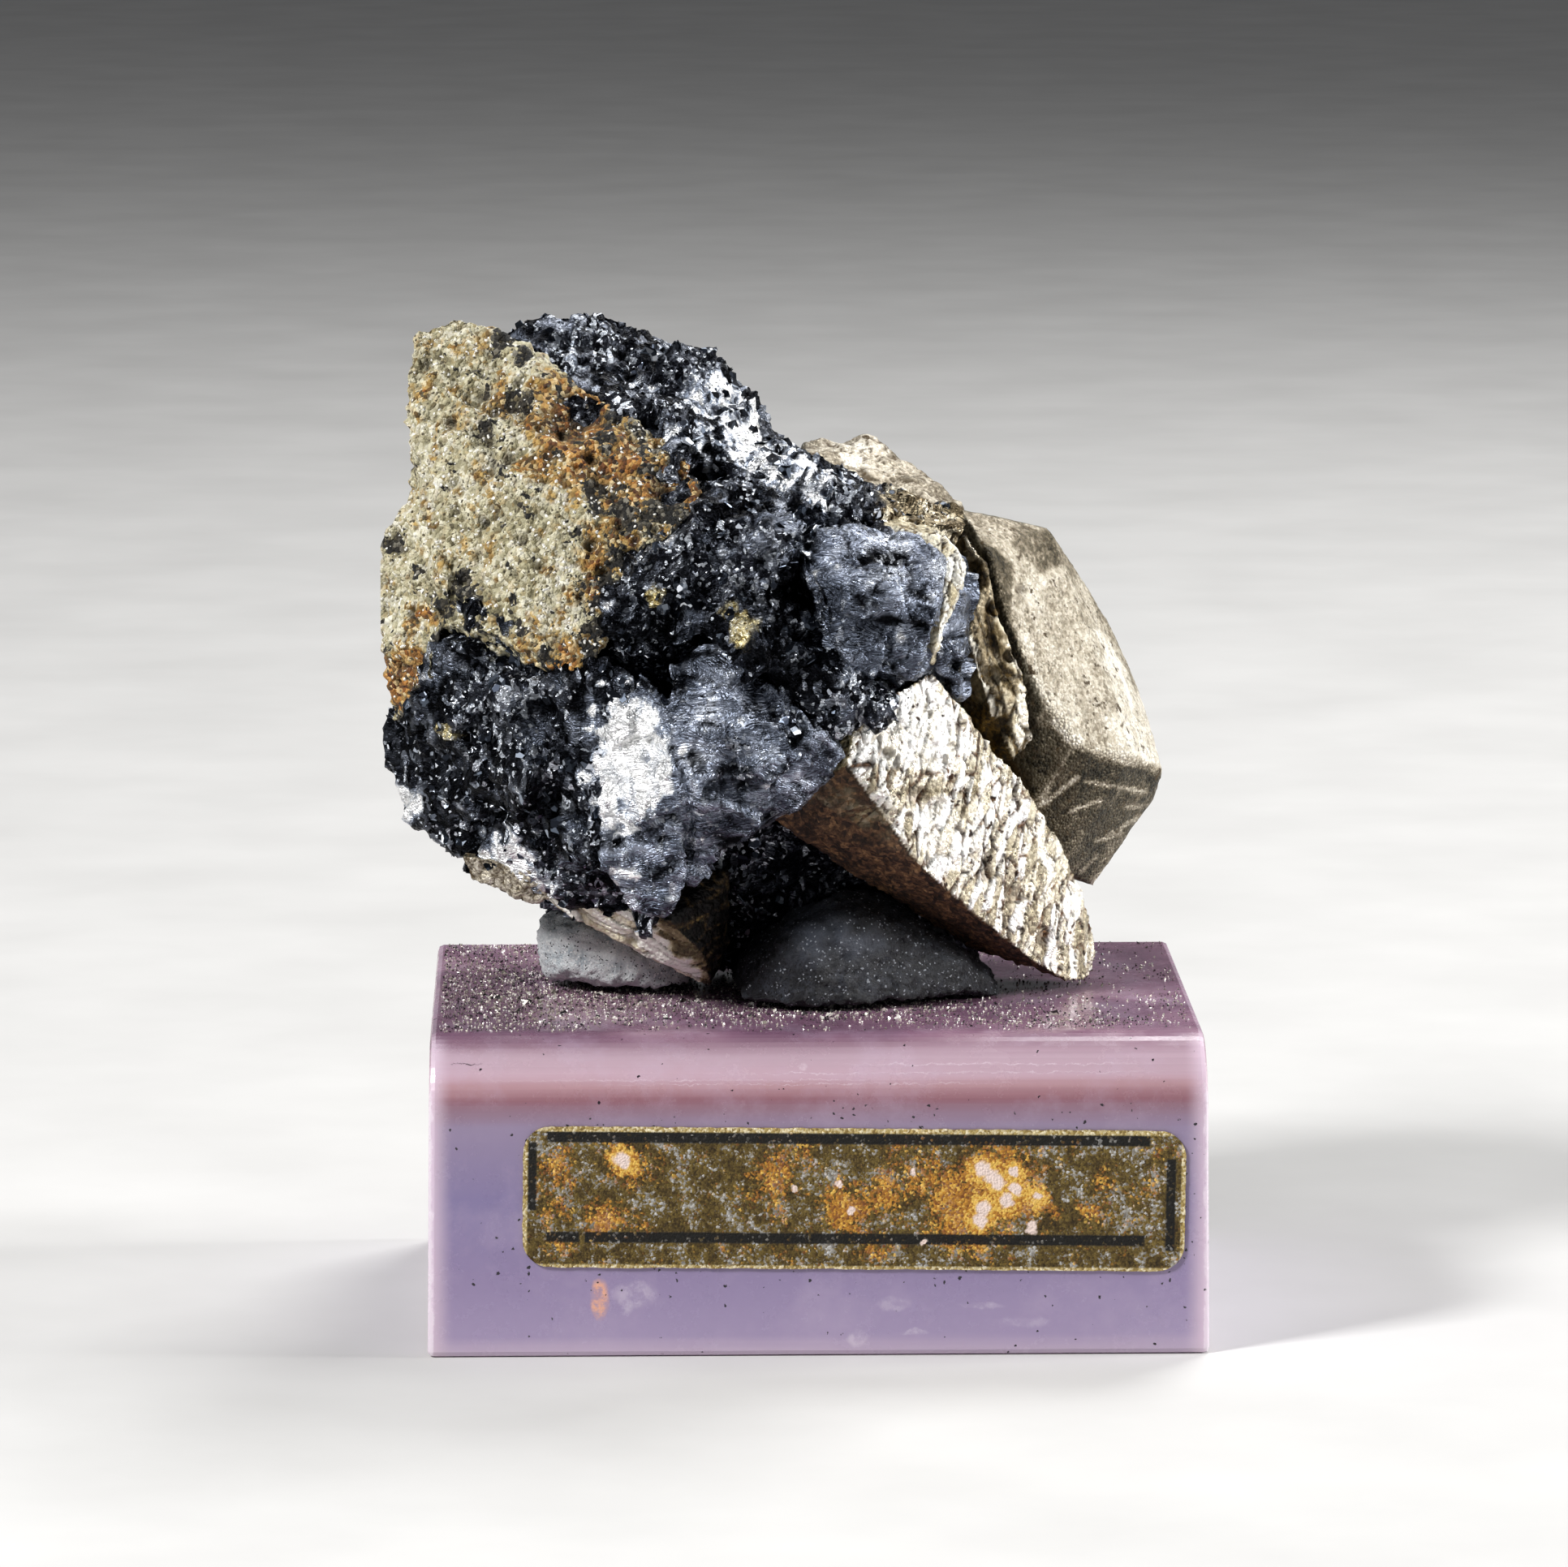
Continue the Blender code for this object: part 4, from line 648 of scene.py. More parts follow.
pyrite = {
    "blade": {
        "voxel": 0.125,
        "points": [
            (6.3, -6.2, 33.3), (4.9, -7.2, 32.0), (2.4, -8.8, 30.8), (1.9, -9.0, 28.3),
            (4.4, -8.3, 26.2), (5.7, -7.5, 22.9), (7.6, -6.0, 21.2), (9.8, -4.2, 19.6),
            (11.8, -2.5, 17.7), (13.4, -0.9, 16.8), (14.3, 0.4, 16.7), (14.9, 2.6, 17.2),
            (14.8, 3.0, 19.6), (14.2, 1.8, 21.6),
            (12.8, 0.0, 24.7), (11.0, -2.0, 27.4), (8.9, -3.8, 29.4), (7.6, -4.8, 31.6),
            (-2.4, -6.4, 25.8), (-0.6, -7.8, 27.0), (-0.6, -5.0, 24.4), (2.4, -2.6, 22.8), (5.2, -1.6, 20.7),
            (8.2, 0.4, 18.6), (4.0, 3.0, 30.0), (9.0, 5.0, 26.0), (12.6, 5.0, 20.0),
        ],
        "facing": (0.67, -0.73, 0.09), "down": (-0.24, -0.31, -0.93),
        "plates": (0.5, 1.7), "height": 0.24, "lean": 0.5, "seam": (0.02, 0.11),
        "pits": [
            (5.6, 26.6, 0.7, 0.25), (6.4, 25.9, 0.8, 0.3), (10.8, 21.4, 0.6, 0.3), (9.2, 22.4, 0.5, 0.25),
            (7.4, 29.2, 0.35, 0.3), (12.4, 19.0, 0.5, 0.4), (4.0, 28.9, 0.4, 0.4)],
        # regions painted lighter and darker: the near-white ones at the top left are painted highlights
        "regions": [
            (((3.0, 31.2), (6.4, 33.0), (8.6, 29.4), (7.4, 27.6), (2.2, 28.6)), 0.9),
            (((5.2, 25.8), (7.8, 27.4), (8.0, 22.6), (6.4, 22.8)), 0.8),
            (((8.4, 29.4), (11.6, 25.6), (11.0, 21.0), (8.8, 23.8)), 0.3),
            (((11.0, 22.4), (14.6, 21.6), (14.8, 17.0), (10.0, 19.8)), 0.0),
            (((4.2, 27.3), (8.8, 26.9), (8.8, 26.6), (4.2, 26.8)), -0.5),
        ],
    },
    "block": {
        "voxel": 0.2,
        "points": [
            (9.2, 0.4, 39.6), (10.2, -0.2, 36.0), (12.0, -0.4, 32.2), (14.4, 0.4, 29.2),
            (16.8, 2.6, 28.9), (18.5, 6.0, 27.9), (18.0, 7.0, 26.4), (14.8, 6.2, 21.8),
            (13.2, 3.2, 22.6), (11.6, 0.4, 26.4), (9.6, 0.0, 30.5), (8.4, 0.4, 34.0),
            (12.4, 5.0, 40.8), (13.2, 5.8, 39.2), (15.6, 8.0, 35.8), (17.2, 9.0, 32.2),
            (10.0, 3.6, 41.2), (7.8, 2.4, 41.8), (4.0, 8.0, 42.4), (11.0, 12.0, 38.6),
            (15.5, 13.0, 30.0), (13.0, 12.5, 24.0), (5.0, 13.0, 26.0), (3.0, 12.0, 38.0),
        ],
        "facing": (0.75, -0.60, 0.28), "down": (0.3, -0.2, -0.93),
        "plates": (1.1, 5.5), "height": 0.03, "lean": 0.0, "seam": (0.0, 0.01),
        "crumb": 0.04, "swell": 0.06, "ragged": 0.3,
        "pits": [(11.0, 37.6, 0.4, 0.4)],
        # regions painted lighter and darker, face by face: partly the faces' own colour, partly painted light
        # and shade
        "regions": [
            (((10.9, 36.8), (11.9, 40.4), (13.3, 39.1), (15.1, 35.8), (17.0, 32.3), (18.1, 30.4),
              (18.6, 28.5), (18.6, 27.9), (16.5, 28.7), (13.7, 29.3), (11.4, 33.0)), 0.25),
            (((14.6, 36.4), (16.6, 33.0), (18.3, 30.0), (18.6, 28.0), (16.8, 28.8), (15.6, 33.0)), 0.7),
            (((11.3, 32.6), (13.6, 29.2), (11.8, 26.3), (9.9, 29.2)), -0.72),
            (((13.7, 29.1), (18.6, 27.6), (17.8, 25.5), (14.2, 21.6), (12.0, 25.9)), -0.9),
            (((12.6, 25.9), (15.2, 27.2), (18.4, 27.2), (17.8, 25.5), (14.2, 21.6), (12.6, 23.4)), -0.65),
            (((9.0, 40.0), (10.6, 39.0), (10.4, 36.2), (11.2, 33.2), (10.6, 31.4), (9.0, 35.0)), -0.85),
            (((10.4, 40.9), (12.6, 40.7), (13.2, 38.9), (12.0, 38.5), (10.7, 39.5)), -0.45),
        ],
        "scratches": [  # bright lines: from x, z to x, z, half width
            (15.8, 24.6, 17.4, 25.6, 0.06), (15.0, 24.2, 16.2, 24.6, 0.05), (14.4, 27.4, 17.6, 26.8, 0.04),
            (12.2, 26.2, 14.0, 27.6, 0.07), (12.6, 30.6, 13.4, 29.6, 0.04), (13.6, 25.8, 15.2, 26.4, 0.04),
            (16.6, 26.0, 17.9, 26.1, 0.05), (14.2, 22.6, 15.0, 23.4, 0.04)],
    },
    "step": {
        "voxel": 0.13,
        "points": [
            (8.0, 0.2, 40.6), (9.0, -1.2, 39.0), (9.9, -1.4, 36.2), (11.2, -1.2, 32.8),
            (11.6, -0.8, 29.6), (10.6, -1.2, 28.4), (9.4, -2.0, 31.0), (8.2, -2.4, 35.0),
            (8.0, 4.0, 38.0), (9.0, 4.0, 29.0), (6.0, 3.0, 30.0), (6.0, 3.0, 39.0),
        ],
        "facing": (0.2, -0.95, 0.1), "down": (0.30, 0.0, -0.95),
        # the tone lightens the whole step: painted light against the shade it sits in
        "plates": (0.7, 4.0), "height": 0.2, "lean": 0.6, "seam": (0.02, 0.1), "tone": 0.35, "swell": 0.22,
        "pits": [(9.4, 33.0, 0.6, 0.5), (9.8, 30.2, 0.7, 0.7), (9.6, 36.6, 0.5, 0.7), (10.4, 34.0, 0.4, 0.6)],
        # regions painted lighter and darker; the dark one in the cleft beside the big crystal is painted shade
        "regions": [
            (((8.0, 34.4), (9.6, 32.2), (9.4, 30.0), (8.2, 31.0)), 0.5),
            (((9.2, 38.8), (9.8, 35.8), (11.0, 32.2), (10.4, 31.8), (9.2, 35.2)), -0.95),
            (((9.8, 31.0), (10.8, 31.0), (10.4, 28.6), (9.4, 29.0)), -0.5),
            (((8.3, 39.1), (9.9, 39.3), (9.9, 37.9), (8.6, 37.4)), -1.0),
        ],
    },
    "foot": {
        "voxel": 0.115,
        "points": [
            (-14.2, -3.6, 21.4), (-12.4, -4.8, 20.2), (-10.0, -5.0, 18.9), (-7.8, -4.6, 17.8),
            (-6.2, -3.9, 16.9), (-5.3, -3.2, 16.6), (-5.6, -5.2, 18.2), (-7.4, -6.6, 20.0),
            (-4.3, -2.4, 18.6), (-4.3, -3.6, 22.6), (-12.8, -5.8, 21.6), (-5.4, 2.0, 18.6),
            (-12.0, 3.0, 22.0), (-4.6, 2.0, 24.0),
        ],
        "facing": (-0.3, -0.8, -0.5), "down": (0.9, 0.1, -0.42),
        "plates": (0.5, 3.0), "height": 0.26, "lean": 0.5, "seam": (0.02, 0.1), "tone": 0.5, "underFrom": 0.8,
        "pits": [(-9.4, 18.9, 0.4, 0.4)],
        # regions painted lighter and darker; the dark one at the right end is a painted shadow
        "regions": [
            (((-12.4, 20.6), (-9.8, 20.0), (-7.6, 19.0), (-6.0, 17.9), (-6.0, 16.6),
              (-9.8, 17.8), (-12.4, 19.0)), 0.8),
            (((-8.4, 23.4), (-3.4, 23.4), (-3.4, 15.6), (-5.9, 15.6), (-6.0, 17.5), (-8.0, 19.4)), -1.0),
        ],
    },
    "chip": {
        "voxel": 0.12,
        "points": [
            (-18.4, -2.8, 23.6), (-17.8, -2.4, 22.3), (-16.6, -2.9, 22.0), (-15.7, -3.3, 22.2),
            (-15.2, -3.8, 21.3), (-14.4, -4.0, 20.9), (-13.6, -4.6, 21.2), (-14.6, -5.0, 23.0),
            (-17.6, 1.0, 24.5), (-14.0, 1.0, 22.5),
        ],
        "facing": (-0.3, -0.9, -0.2), "down": (0.2, 0.0, -0.98),
        "plates": (0.5, 0.9), "height": 0.16, "lean": 0.5, "seam": (0.03, 0.12), "tone": 0.2, "swell": 0.3,
        "pits": [], "regions": [],
    },
    "topCrust": {
        "voxel": 0.17,
        "points": [
            (-1.4, 8.0, 44.5), (0.2, 8.6, 45.0), (1.6, 8.6, 45.2), (3.7, 8.4, 45.0),
            (4.5, 8.0, 44.2), (5.8, 7.8, 43.6), (7.9, 7.0, 41.9), (6.2, 2.0, 41.5),
            (2.4, 3.6, 42.9), (-1.4, 4.0, 44.0), (-2.0, 10.0, 41.0), (8.0, 11.0, 38.5), (2.0, 13.0, 40.5),
            (-0.2, 8.4, 45.4), (0.8, 8.4, 45.5), (3.0, 8.2, 45.6), (4.0, 8.0, 45.2), (6.6, 7.0, 43.3),
        ],
        "facing": (0.2, -0.3, 0.93), "down": (0.6, -0.6, -0.4),
        "plates": (1.0, 1.4), "height": 0.14, "lean": 0.5, "seam": (0.02, 0.1), "swell": 0.34,
        "pits": [],
        "regions": [
            (((-1.0, 43.6), (1.6, 43.0), (2.0, 42.0), (-0.6, 42.6)), -0.5),
            (((1.0, 45.4), (3.8, 45.2), (4.4, 43.6), (2.0, 43.8)), 0.5),
        ],
    },
    "rim": {
        "voxel": 0.11,
        "points": [
            (3.8, -6.6, 41.0), (6.4, -6.9, 40.5), (7.7, -6.8, 39.5), (7.8, -7.0, 37.8),
            (7.0, -7.6, 36.4), (6.5, -7.4, 34.6), (6.2, -6.8, 33.6), (6.8, -5.4, 33.6),
            (8.1, -5.2, 38.8), (6.6, -4.4, 41.0), (4.0, -4.4, 41.4),
        ],
        "facing": (0.6, -0.7, 0.3), "down": (-0.3, 0.0, -0.95),
        "plates": (0.45, 1.0), "height": 0.2, "lean": 0.6, "seam": (0.02, 0.1), "tone": 0.5, "underFrom": 0.8,
        "pits": [], "regions": [(((6.0, 40.8), (8.0, 39.6), (8.0, 37.4), (7.0, 37.6)), 0.5)],
    },
}


def plates(co, across, along, width, length, lean):
    # long plates side by side: how far each point is from a seam, its plate's own number, and its rise
    seam, own, rise = np.empty(len(co)), np.empty(len(co)), np.empty(len(co))
    third = across.cross(along)
    for index, p in enumerate(co):
        p = Vector(p)
        bend = noise.noise(p / 2.2) * 0.9
        spot = Vector((p.dot(across) / width + bend, p.dot(along) / length, p.dot(third) / 3.0))
        away, middles = noise.voronoi(spot)
        seam[index] = away[1] - away[0]
        way = noise.cell_vector(middles[0] * 9.73)
        own[index] = way[0]
        rise[index] = way[2] + (spot - middles[0]).x * (way[1] - 0.5) * lean * 4.0
    return seam, own, rise


def crystalMesh(settings):
    mesh = hullsSkin([settings["points"]], settings["voxel"])
    co, normals = arrays(mesh)
    facing = Vector(settings["facing"]).normalized()
    down = Vector(settings["down"]).normalized()
    along = (down - facing * down.dot(facing)).normalized()
    across = facing.cross(along)
    tree = hullTree(settings["points"])
    flat = np.array([tree.find_nearest(Vector(p))[1] for p in co])
    front = stepped(flat @ np.array(facing), 0.45, 0.75)
    gridX, gridZ = onGrid(co)
    seam, own, rise = plates(co, across, along, *settings["plates"], settings["lean"])
    groove = 1.0 - stepped(seam, *settings["seam"])
    broad = swell(co, 2.5, 3, 7.0)
    lift = (rise - 0.5) * settings["height"] * 0.7 * (0.3 + 0.7 * front)
    lift -= groove * settings["height"] * 0.5 * (0.3 + 0.7 * front)
    lift += broad * settings.get("swell", 0.14) + swell(co, 0.7, 2, 9.0) * settings.get("swell", 0.14) * 0.4
    lift += (grains(co, 0.6, 2.0) - 0.4) * settings.get("crumb", 0.16) * (1.0 - front)
    toView = np.clip(-normals[:, 1], 0.0, 1.0)
    pits = dots(gridX, gridZ, settings["pits"]) if settings["pits"] else np.zeros(len(co))
    lift -= pits * toView
    # tone: regions painted lighter and darker, partly the faces' own colour, partly painted light and shade
    tone = np.full(len(co), settings.get("tone", 0.0))
    ragged = swell(co, 0.8, 3, 14.0) * 0.35 * settings.get("ragged", 1.0)
    for corners, value in settings["regions"]:
        share = within(gridX + ragged, gridZ + ragged, corners, 0.08 + 0.1 * settings.get("ragged", 1.0))
        tone = tone * (1.0 - share) + value * share
    tone *= stepped(-normals[:, 1], -0.35, -0.1)
    scratch = np.zeros(len(co))
    for x0, z0, x1, z1, reach in settings.get("scratches", []):
        away = distanceToLine(gridX + ragged * 0.2, gridZ + ragged * 0.2, (x0, z0), (x1, z1))
        scratch = np.maximum(scratch, 1.0 - stepped(away, reach, reach + 0.14))
    setPoints(mesh, co + normals * lift[:, None])
    underFrom = settings.get("underFrom", 0.10)
    under = stepped(-flat[:, 2] + broad * 0.3, underFrom, underFrom + 0.3) * (1.0 - front)
    setAttributes(
        mesh, groove=np.clip(groove + pits * 1.6, 0.0, 1.0), under=under, front=front, own=own,
        tone=np.clip(tone + scratch * 1.4 * toView, -1.0, 1.0))
    return mesh


def pyriteMaterial(name, settings):
    # pyrite as it grew: brass-yellow metal gone pale on worn ridges, brown in its grooves and under its faces;
    # the near-white plates are partly painted highlight and the dark grooves partly painted shade
    material, tree, shader, place = startMaterial(name)
    groove, under, front, own, tone = (
        addNode(tree, "Attribute", attribute_name=key).outputs["Fac"]
        for key in ("groove", "under", "front", "own", "tone"))
    cloud = addNode(tree, "TexNoise", {"Vector": place, "Scale": 900.0, "Detail": 6.0, "Roughness": 0.7})
    grit = addNode(tree, "TexVoronoi", {"Vector": place, "Scale": 1 / (settings["grit"] * mm)})
    gritSplit = addNode(tree, "SeparateColor", {0: grit.outputs["Color"]})
    mixed = addNode(tree, "Mix", {0: settings["gritShare"], 2: cloud, 3: gritSplit.outputs[0]})
    plated = addNode(tree, "Mix", {0: settings["plateShare"], 2: mixed, 3: own})
    shifted = addNode(tree, "Math", {0: tone, 1: 0.34, 2: plated}, operation="MULTIPLY_ADD")
    metal = addNode(tree, "ValToRGB", {0: shifted}, stops=settings["metal"])
    sideShifted = addNode(tree, "Math", {0: tone, 1: 0.34, 2: mixed}, operation="MULTIPLY_ADD")
    worn = addNode(tree, "ValToRGB", {0: sideShifted}, stops=settings["side"])
    sided = addNode(tree, "Mix", {0: front, 6: worn, 7: metal}, data_type="RGBA")
    fine = addNode(tree, "TexNoise", {"Vector": place, "Scale": 4500.0, "Detail": 5.0, "Roughness": 0.7})
    brownCloud = addNode(tree, "Mix", {0: 0.5, 2: cloud, 3: fine})
    brownMix = addNode(tree, "Mix", {0: 0.15, 2: brownCloud, 3: gritSplit.outputs[1]})
    brown = addNode(tree, "ValToRGB", {0: brownMix}, stops=settings["brown"])
    # brown spots where the surface has rusted
    spots = addNode(tree, "TexNoise", {"Vector": place, "Scale": 1500.0, "Detail": 4.0, "Roughness": 0.6})
    spotShare = addNode(tree, "MapRange", {0: spots, 1: settings["spots"], 2: settings["spots"] + 0.06})
    dull = addNode(tree, "MapRange", {0: tone, 1: 0.6, 2: 1.0, 3: 1.0, 4: 0.3})
    # the grooves between plates are darkened to brown: partly tarnish, partly painted shade
    grooved = addNode(tree, "Math", {0: groove, 1: dull}, operation="MULTIPLY")
    dirty = addNode(tree, "Math", {0: grooved, 1: under}, operation="MAXIMUM")
    dirtier = addNode(tree, "Math", {0: dirty, 1: spotShare}, operation="MAXIMUM")
    base = addNode(tree, "Mix", {0: dirtier, 6: sided, 7: brown}, data_type="RGBA")
    metallic = addNode(tree, "MapRange", {0: dirtier, 3: settings["metallic"], 4: 0.25})
    roughMix = addNode(tree, "MapRange", {
        0: gritSplit.outputs[2], 3: settings["rough"][0], 4: settings["rough"][1]})
    rough = addNode(tree, "Mix", {0: dirtier, 2: roughMix, 3: 0.75})
    height = addNode(tree, "Math", {0: grit.outputs["Distance"], 1: -0.8, 2: fine}, operation="MULTIPLY_ADD")
    bump = addNode(tree, "Bump", {"Height": height, "Distance": settings["bump"] * mm, "Strength": 1.0})
    setInputs(tree, shader, {"Base Color": base, "Metallic": metallic, "Roughness": rough, "Normal": bump})
    return material


brightPyrite = {
    "metal": [(0.10, "#6B604C"), (0.28, "#A79D86"), (0.44, "#D6CDB8"), (0.60, "#F3EEE2"), (0.78, "#FFFEFA")],
    "side": [(0.25, "#5E5038"), (0.5, "#A39672"), (0.75, "#DCD2B8")],
    "brown": [(0.36, "#150D08"), (0.46, "#35241A"), (0.55, "#644731"), (0.66, "#A07A54")],
    "gritShare": 0.35, "grit": 0.26, "plateShare": 0.55, "spots": 0.60,
    "metallic": 1.0, "rough": (0.22, 0.42), "bump": 0.10,
}
agedPyrite = {
    "metal": [(0.10, "#2B2820"), (0.30, "#5E5646"), (0.44, "#8E8472"), (0.58, "#BDB4A2"), (0.80, "#EFE9DC")],
    "side": [(0.15, "#26231B"), (0.36, "#4E493B"), (0.5, "#757060"), (0.75, "#A8A18E")],
    "brown": [(0.0, "#1E170E"), (0.5, "#4E3F28"), (1.0, "#8A7450")],
    "gritShare": 0.22, "grit": 0.16, "plateShare": 0.12, "spots": 0.61,
    "metallic": 0.9, "rough": (0.32, 0.55), "bump": 0.10,
}
goldPyrite = {
    "metal": [(0.08, "#241C10"), (0.26, "#62543A"), (0.44, "#9A8D74"), (0.62, "#CBC1A8"), (0.82, "#F3EDDE")],
    "side": [(0.25, "#2A2216"), (0.5, "#6A5D44"), (0.75, "#AC9F80")],
    "brown": [(0.36, "#100B06"), (0.48, "#33260F"), (0.6, "#6E551F"), (0.7, "#B48A34")],
    "gritShare": 0.35, "grit": 0.26, "plateShare": 0.6, "spots": 0.58,
    "metallic": 0.95, "rough": (0.26, 0.48), "bump": 0.10,
}

farCubes = {
    "cubes": [
        ((-5.6, 9.0, 34.0), 11.0, (14, 24, 20)),
        ((1.8, 9.6, 30.6), 9.0, (30, 8, 38)),
        ((-12.0, 8.0, 29.6), 8.6, (10, 36, 12)),
        ((7.6, 9.6, 35.4), 8.0, (24, 18, 52)),
        ((-12.8, 7.6, 41.4), 8.4, (20, 10, 34)),
        ((9.6, 9.0, 27.4), 7.4, (36, 30, 6)),
    ],
    "bevel": 0.12,
    "cuts": 26,
}


def farCubesMesh():
    whole = bmesh.new()
    for middle, edge, turns in farCubes["cubes"]:
        bm = bmesh.new()
        bmesh.ops.create_cube(bm, size=edge)
        bmesh.ops.bevel(
            bm, geom=bm.edges[:], offset=farCubes["bevel"], segments=2, affect="EDGES", profile=0.5)
        wide = [e for e in bm.edges if e.calc_length() > edge * 0.7]
        cuts = min(farCubes["cuts"], int(edge * 2))
        bmesh.ops.subdivide_edges(bm, edges=wide, cuts=cuts, use_grid_fill=True)
        turn = Matrix.Identity(3)
        for degrees, axis in zip(turns, "XYZ"):
            turn = Matrix.Rotation(math.radians(degrees), 3, axis) @ turn
        # the fine growth lines of each cube face run square to the next one's
        for v in bm.verts:
            p = v.co.copy()
            major = max(range(3), key=lambda i: abs(p[i]))
            runs = (major + 1) % 3
            line = noise.noise(Vector((p[runs] * 2.4, p[(runs + 1) % 3] * 0.15, major * 5.0 + edge)))
            v.co[major] += math.copysign(1.0, p[major]) * (line * 0.10 - 0.05)
        bmesh.ops.transform(bm, matrix=turn.to_4x4(), verts=bm.verts)
        bmesh.ops.translate(bm, vec=sighted(middle), verts=bm.verts)
        whole.from_mesh(asMesh(bm, "cube"))
    mesh = asMesh(whole, "far_cubes")
    co = arrays(mesh)[0]
    setAttributes(
        mesh, groove=np.clip(swell(co, 0.9, 3, 1.0) * 1.4 + 0.2, 0.0, 1.0),
        under=stepped(swell(co, 3.0, 3, 5.0), 0.25, 0.6),
        front=np.full(len(co), 1.0), own=np.full(len(co), 0.5), tone=swell(co, 4.0, 2, 2.0) * 0.5 - 0.2)
    return mesh


# putty

putty = {
    "voxel": 0.2,
    "crumb": 0.08,  # across
    "left": {
        "pale": "#FAFCFC", "mid": "#E6EAEC", "deep": "#A8B4BC", "grit": "#5A5C60", "glint": "#FFFFFF",
        "black": 0.95, "white": 0.88},
    "right": {
        "pale": "#3C4049", "mid": "#212329", "deep": "#111215", "grit": "#0C0C0E", "glint": "#A9AEB6",
        "black": 0.80, "white": 0.965},
    "bald": [(0.4, 19.6, 2.6, 0.8), (2.6, 18.6, 1.8, 0.5)],
    # squeezed out under the blade, at the right end
    "squeezed": [
        (5.6, -3.4, 16.4), (9.9, -2.4, 16.4), (9.8, 1.4, 16.4), (6.0, 2.0, 16.4),
        (6.6, -2.0, 18.4), (8.9, -1.4, 17.7), (6.9, 0.6, 19.0), (8.7, 0.8, 18.3), (9.6, 0.4, 17.4)],
}


def cadCopy(name):
    # a CAD node's own shape, merged, in millimetres
    bm = bmesh.new()
    bm.from_mesh(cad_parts[name].data)
    bmesh.ops.remove_doubles(bm, verts=bm.verts, dist=1e-6)
    bmesh.ops.scale(bm, vec=(1000.0, 1000.0, 1000.0), verts=bm.verts)
    return asMesh(bm, name)


def puttyMesh(name):
    shape = cadCopy(name)
    if name == "putty_right":
        bm = bmesh.new()
        bm.from_mesh(shape)
        hull(bm, putty["squeezed"])
        bm.to_mesh(shape)
        bm.free()
    mesh = skinned(shape, putty["voxel"], 6)
    co, normals = arrays(mesh)
    gridX, gridZ = onGrid(co)
    bald = stepped(dots(gridX, gridZ, putty["bald"]) + swell(co, 1.2, 3, 3.0) * 0.4, 0.1, 0.9)
    bald *= name == "putty_right"
    lift = swell(co, 2.2, 4, 2.0) * 0.24 + (grains(co, 0.55, 1.0) - 0.5) * 0.2 * (1.0 - bald)
    lift += (grains(co, 0.3, 5.0) - 0.5) * 0.12 * (1.0 - bald)
    lift = np.minimum(lift, 0.18)
    setPoints(mesh, co + normals * lift[:, None])
    setAttributes(mesh, bald=bald)
    return mesh


def puttyMaterial(name, settings):
    # mounting putty, pressed by hand: dull blue-grey paste with mineral crumbs stuck in it
    material, tree, shader, place = startMaterial(name)
    bald = addNode(tree, "Attribute", attribute_name="bald").outputs["Fac"]
    cloud = addNode(tree, "TexNoise", {"Vector": place, "Scale": 900.0, "Detail": 5.0, "Roughness": 0.65})
    tone = addNode(tree, "ValToRGB", {0: cloud}, stops=[
        (0.3, settings["deep"]), (0.5, settings["mid"]), (0.68, settings["pale"])])
    cells = addNode(tree, "TexVoronoi", {"Vector": place, "Scale": 1 / (putty["crumb"] * mm)})
    split = addNode(tree, "SeparateColor", {0: cells.outputs["Color"]})
    crusty = addNode(tree, "TexNoise", {"Vector": place, "Scale": 3200.0, "Detail": 5.0, "Roughness": 0.75})
    clear = addNode(tree, "MapRange", {0: bald, 3: settings["black"], 4: 0.98})
    black = addNode(tree, "Math", {0: split.outputs[0], 1: clear}, operation="GREATER_THAN")
    white = addNode(tree, "Math", {0: split.outputs[1], 1: settings["white"]}, operation="GREATER_THAN")
    spotted = addNode(tree, "Mix", {0: black, 6: tone, 7: linear(settings["grit"])}, data_type="RGBA")
    lit = addNode(tree, "Mix", {0: white, 6: spotted, 7: linear(settings["glint"])}, data_type="RGBA")
    # painted sheen: the smooth bald spot is lightened toward blue-grey
    sheenShare = addNode(tree, "Math", {0: bald, 1: 0.4}, operation="MULTIPLY")
    withSheen = addNode(tree, "Mix", {0: sheenShare, 6: lit, 7: linear("#6A7282")}, data_type="RGBA")
    rugged = addNode(tree, "Math", {0: crusty, 1: 3.0, 2: split.outputs[2]}, operation="MULTIPLY_ADD")
    bump = addNode(tree, "Bump", {"Height": rugged, "Distance": 0.00014, "Strength": 1.0})
    setInputs(tree, shader, {"Base Color": withSheen, "Roughness": 0.55, "Normal": bump})
    return material


# display block

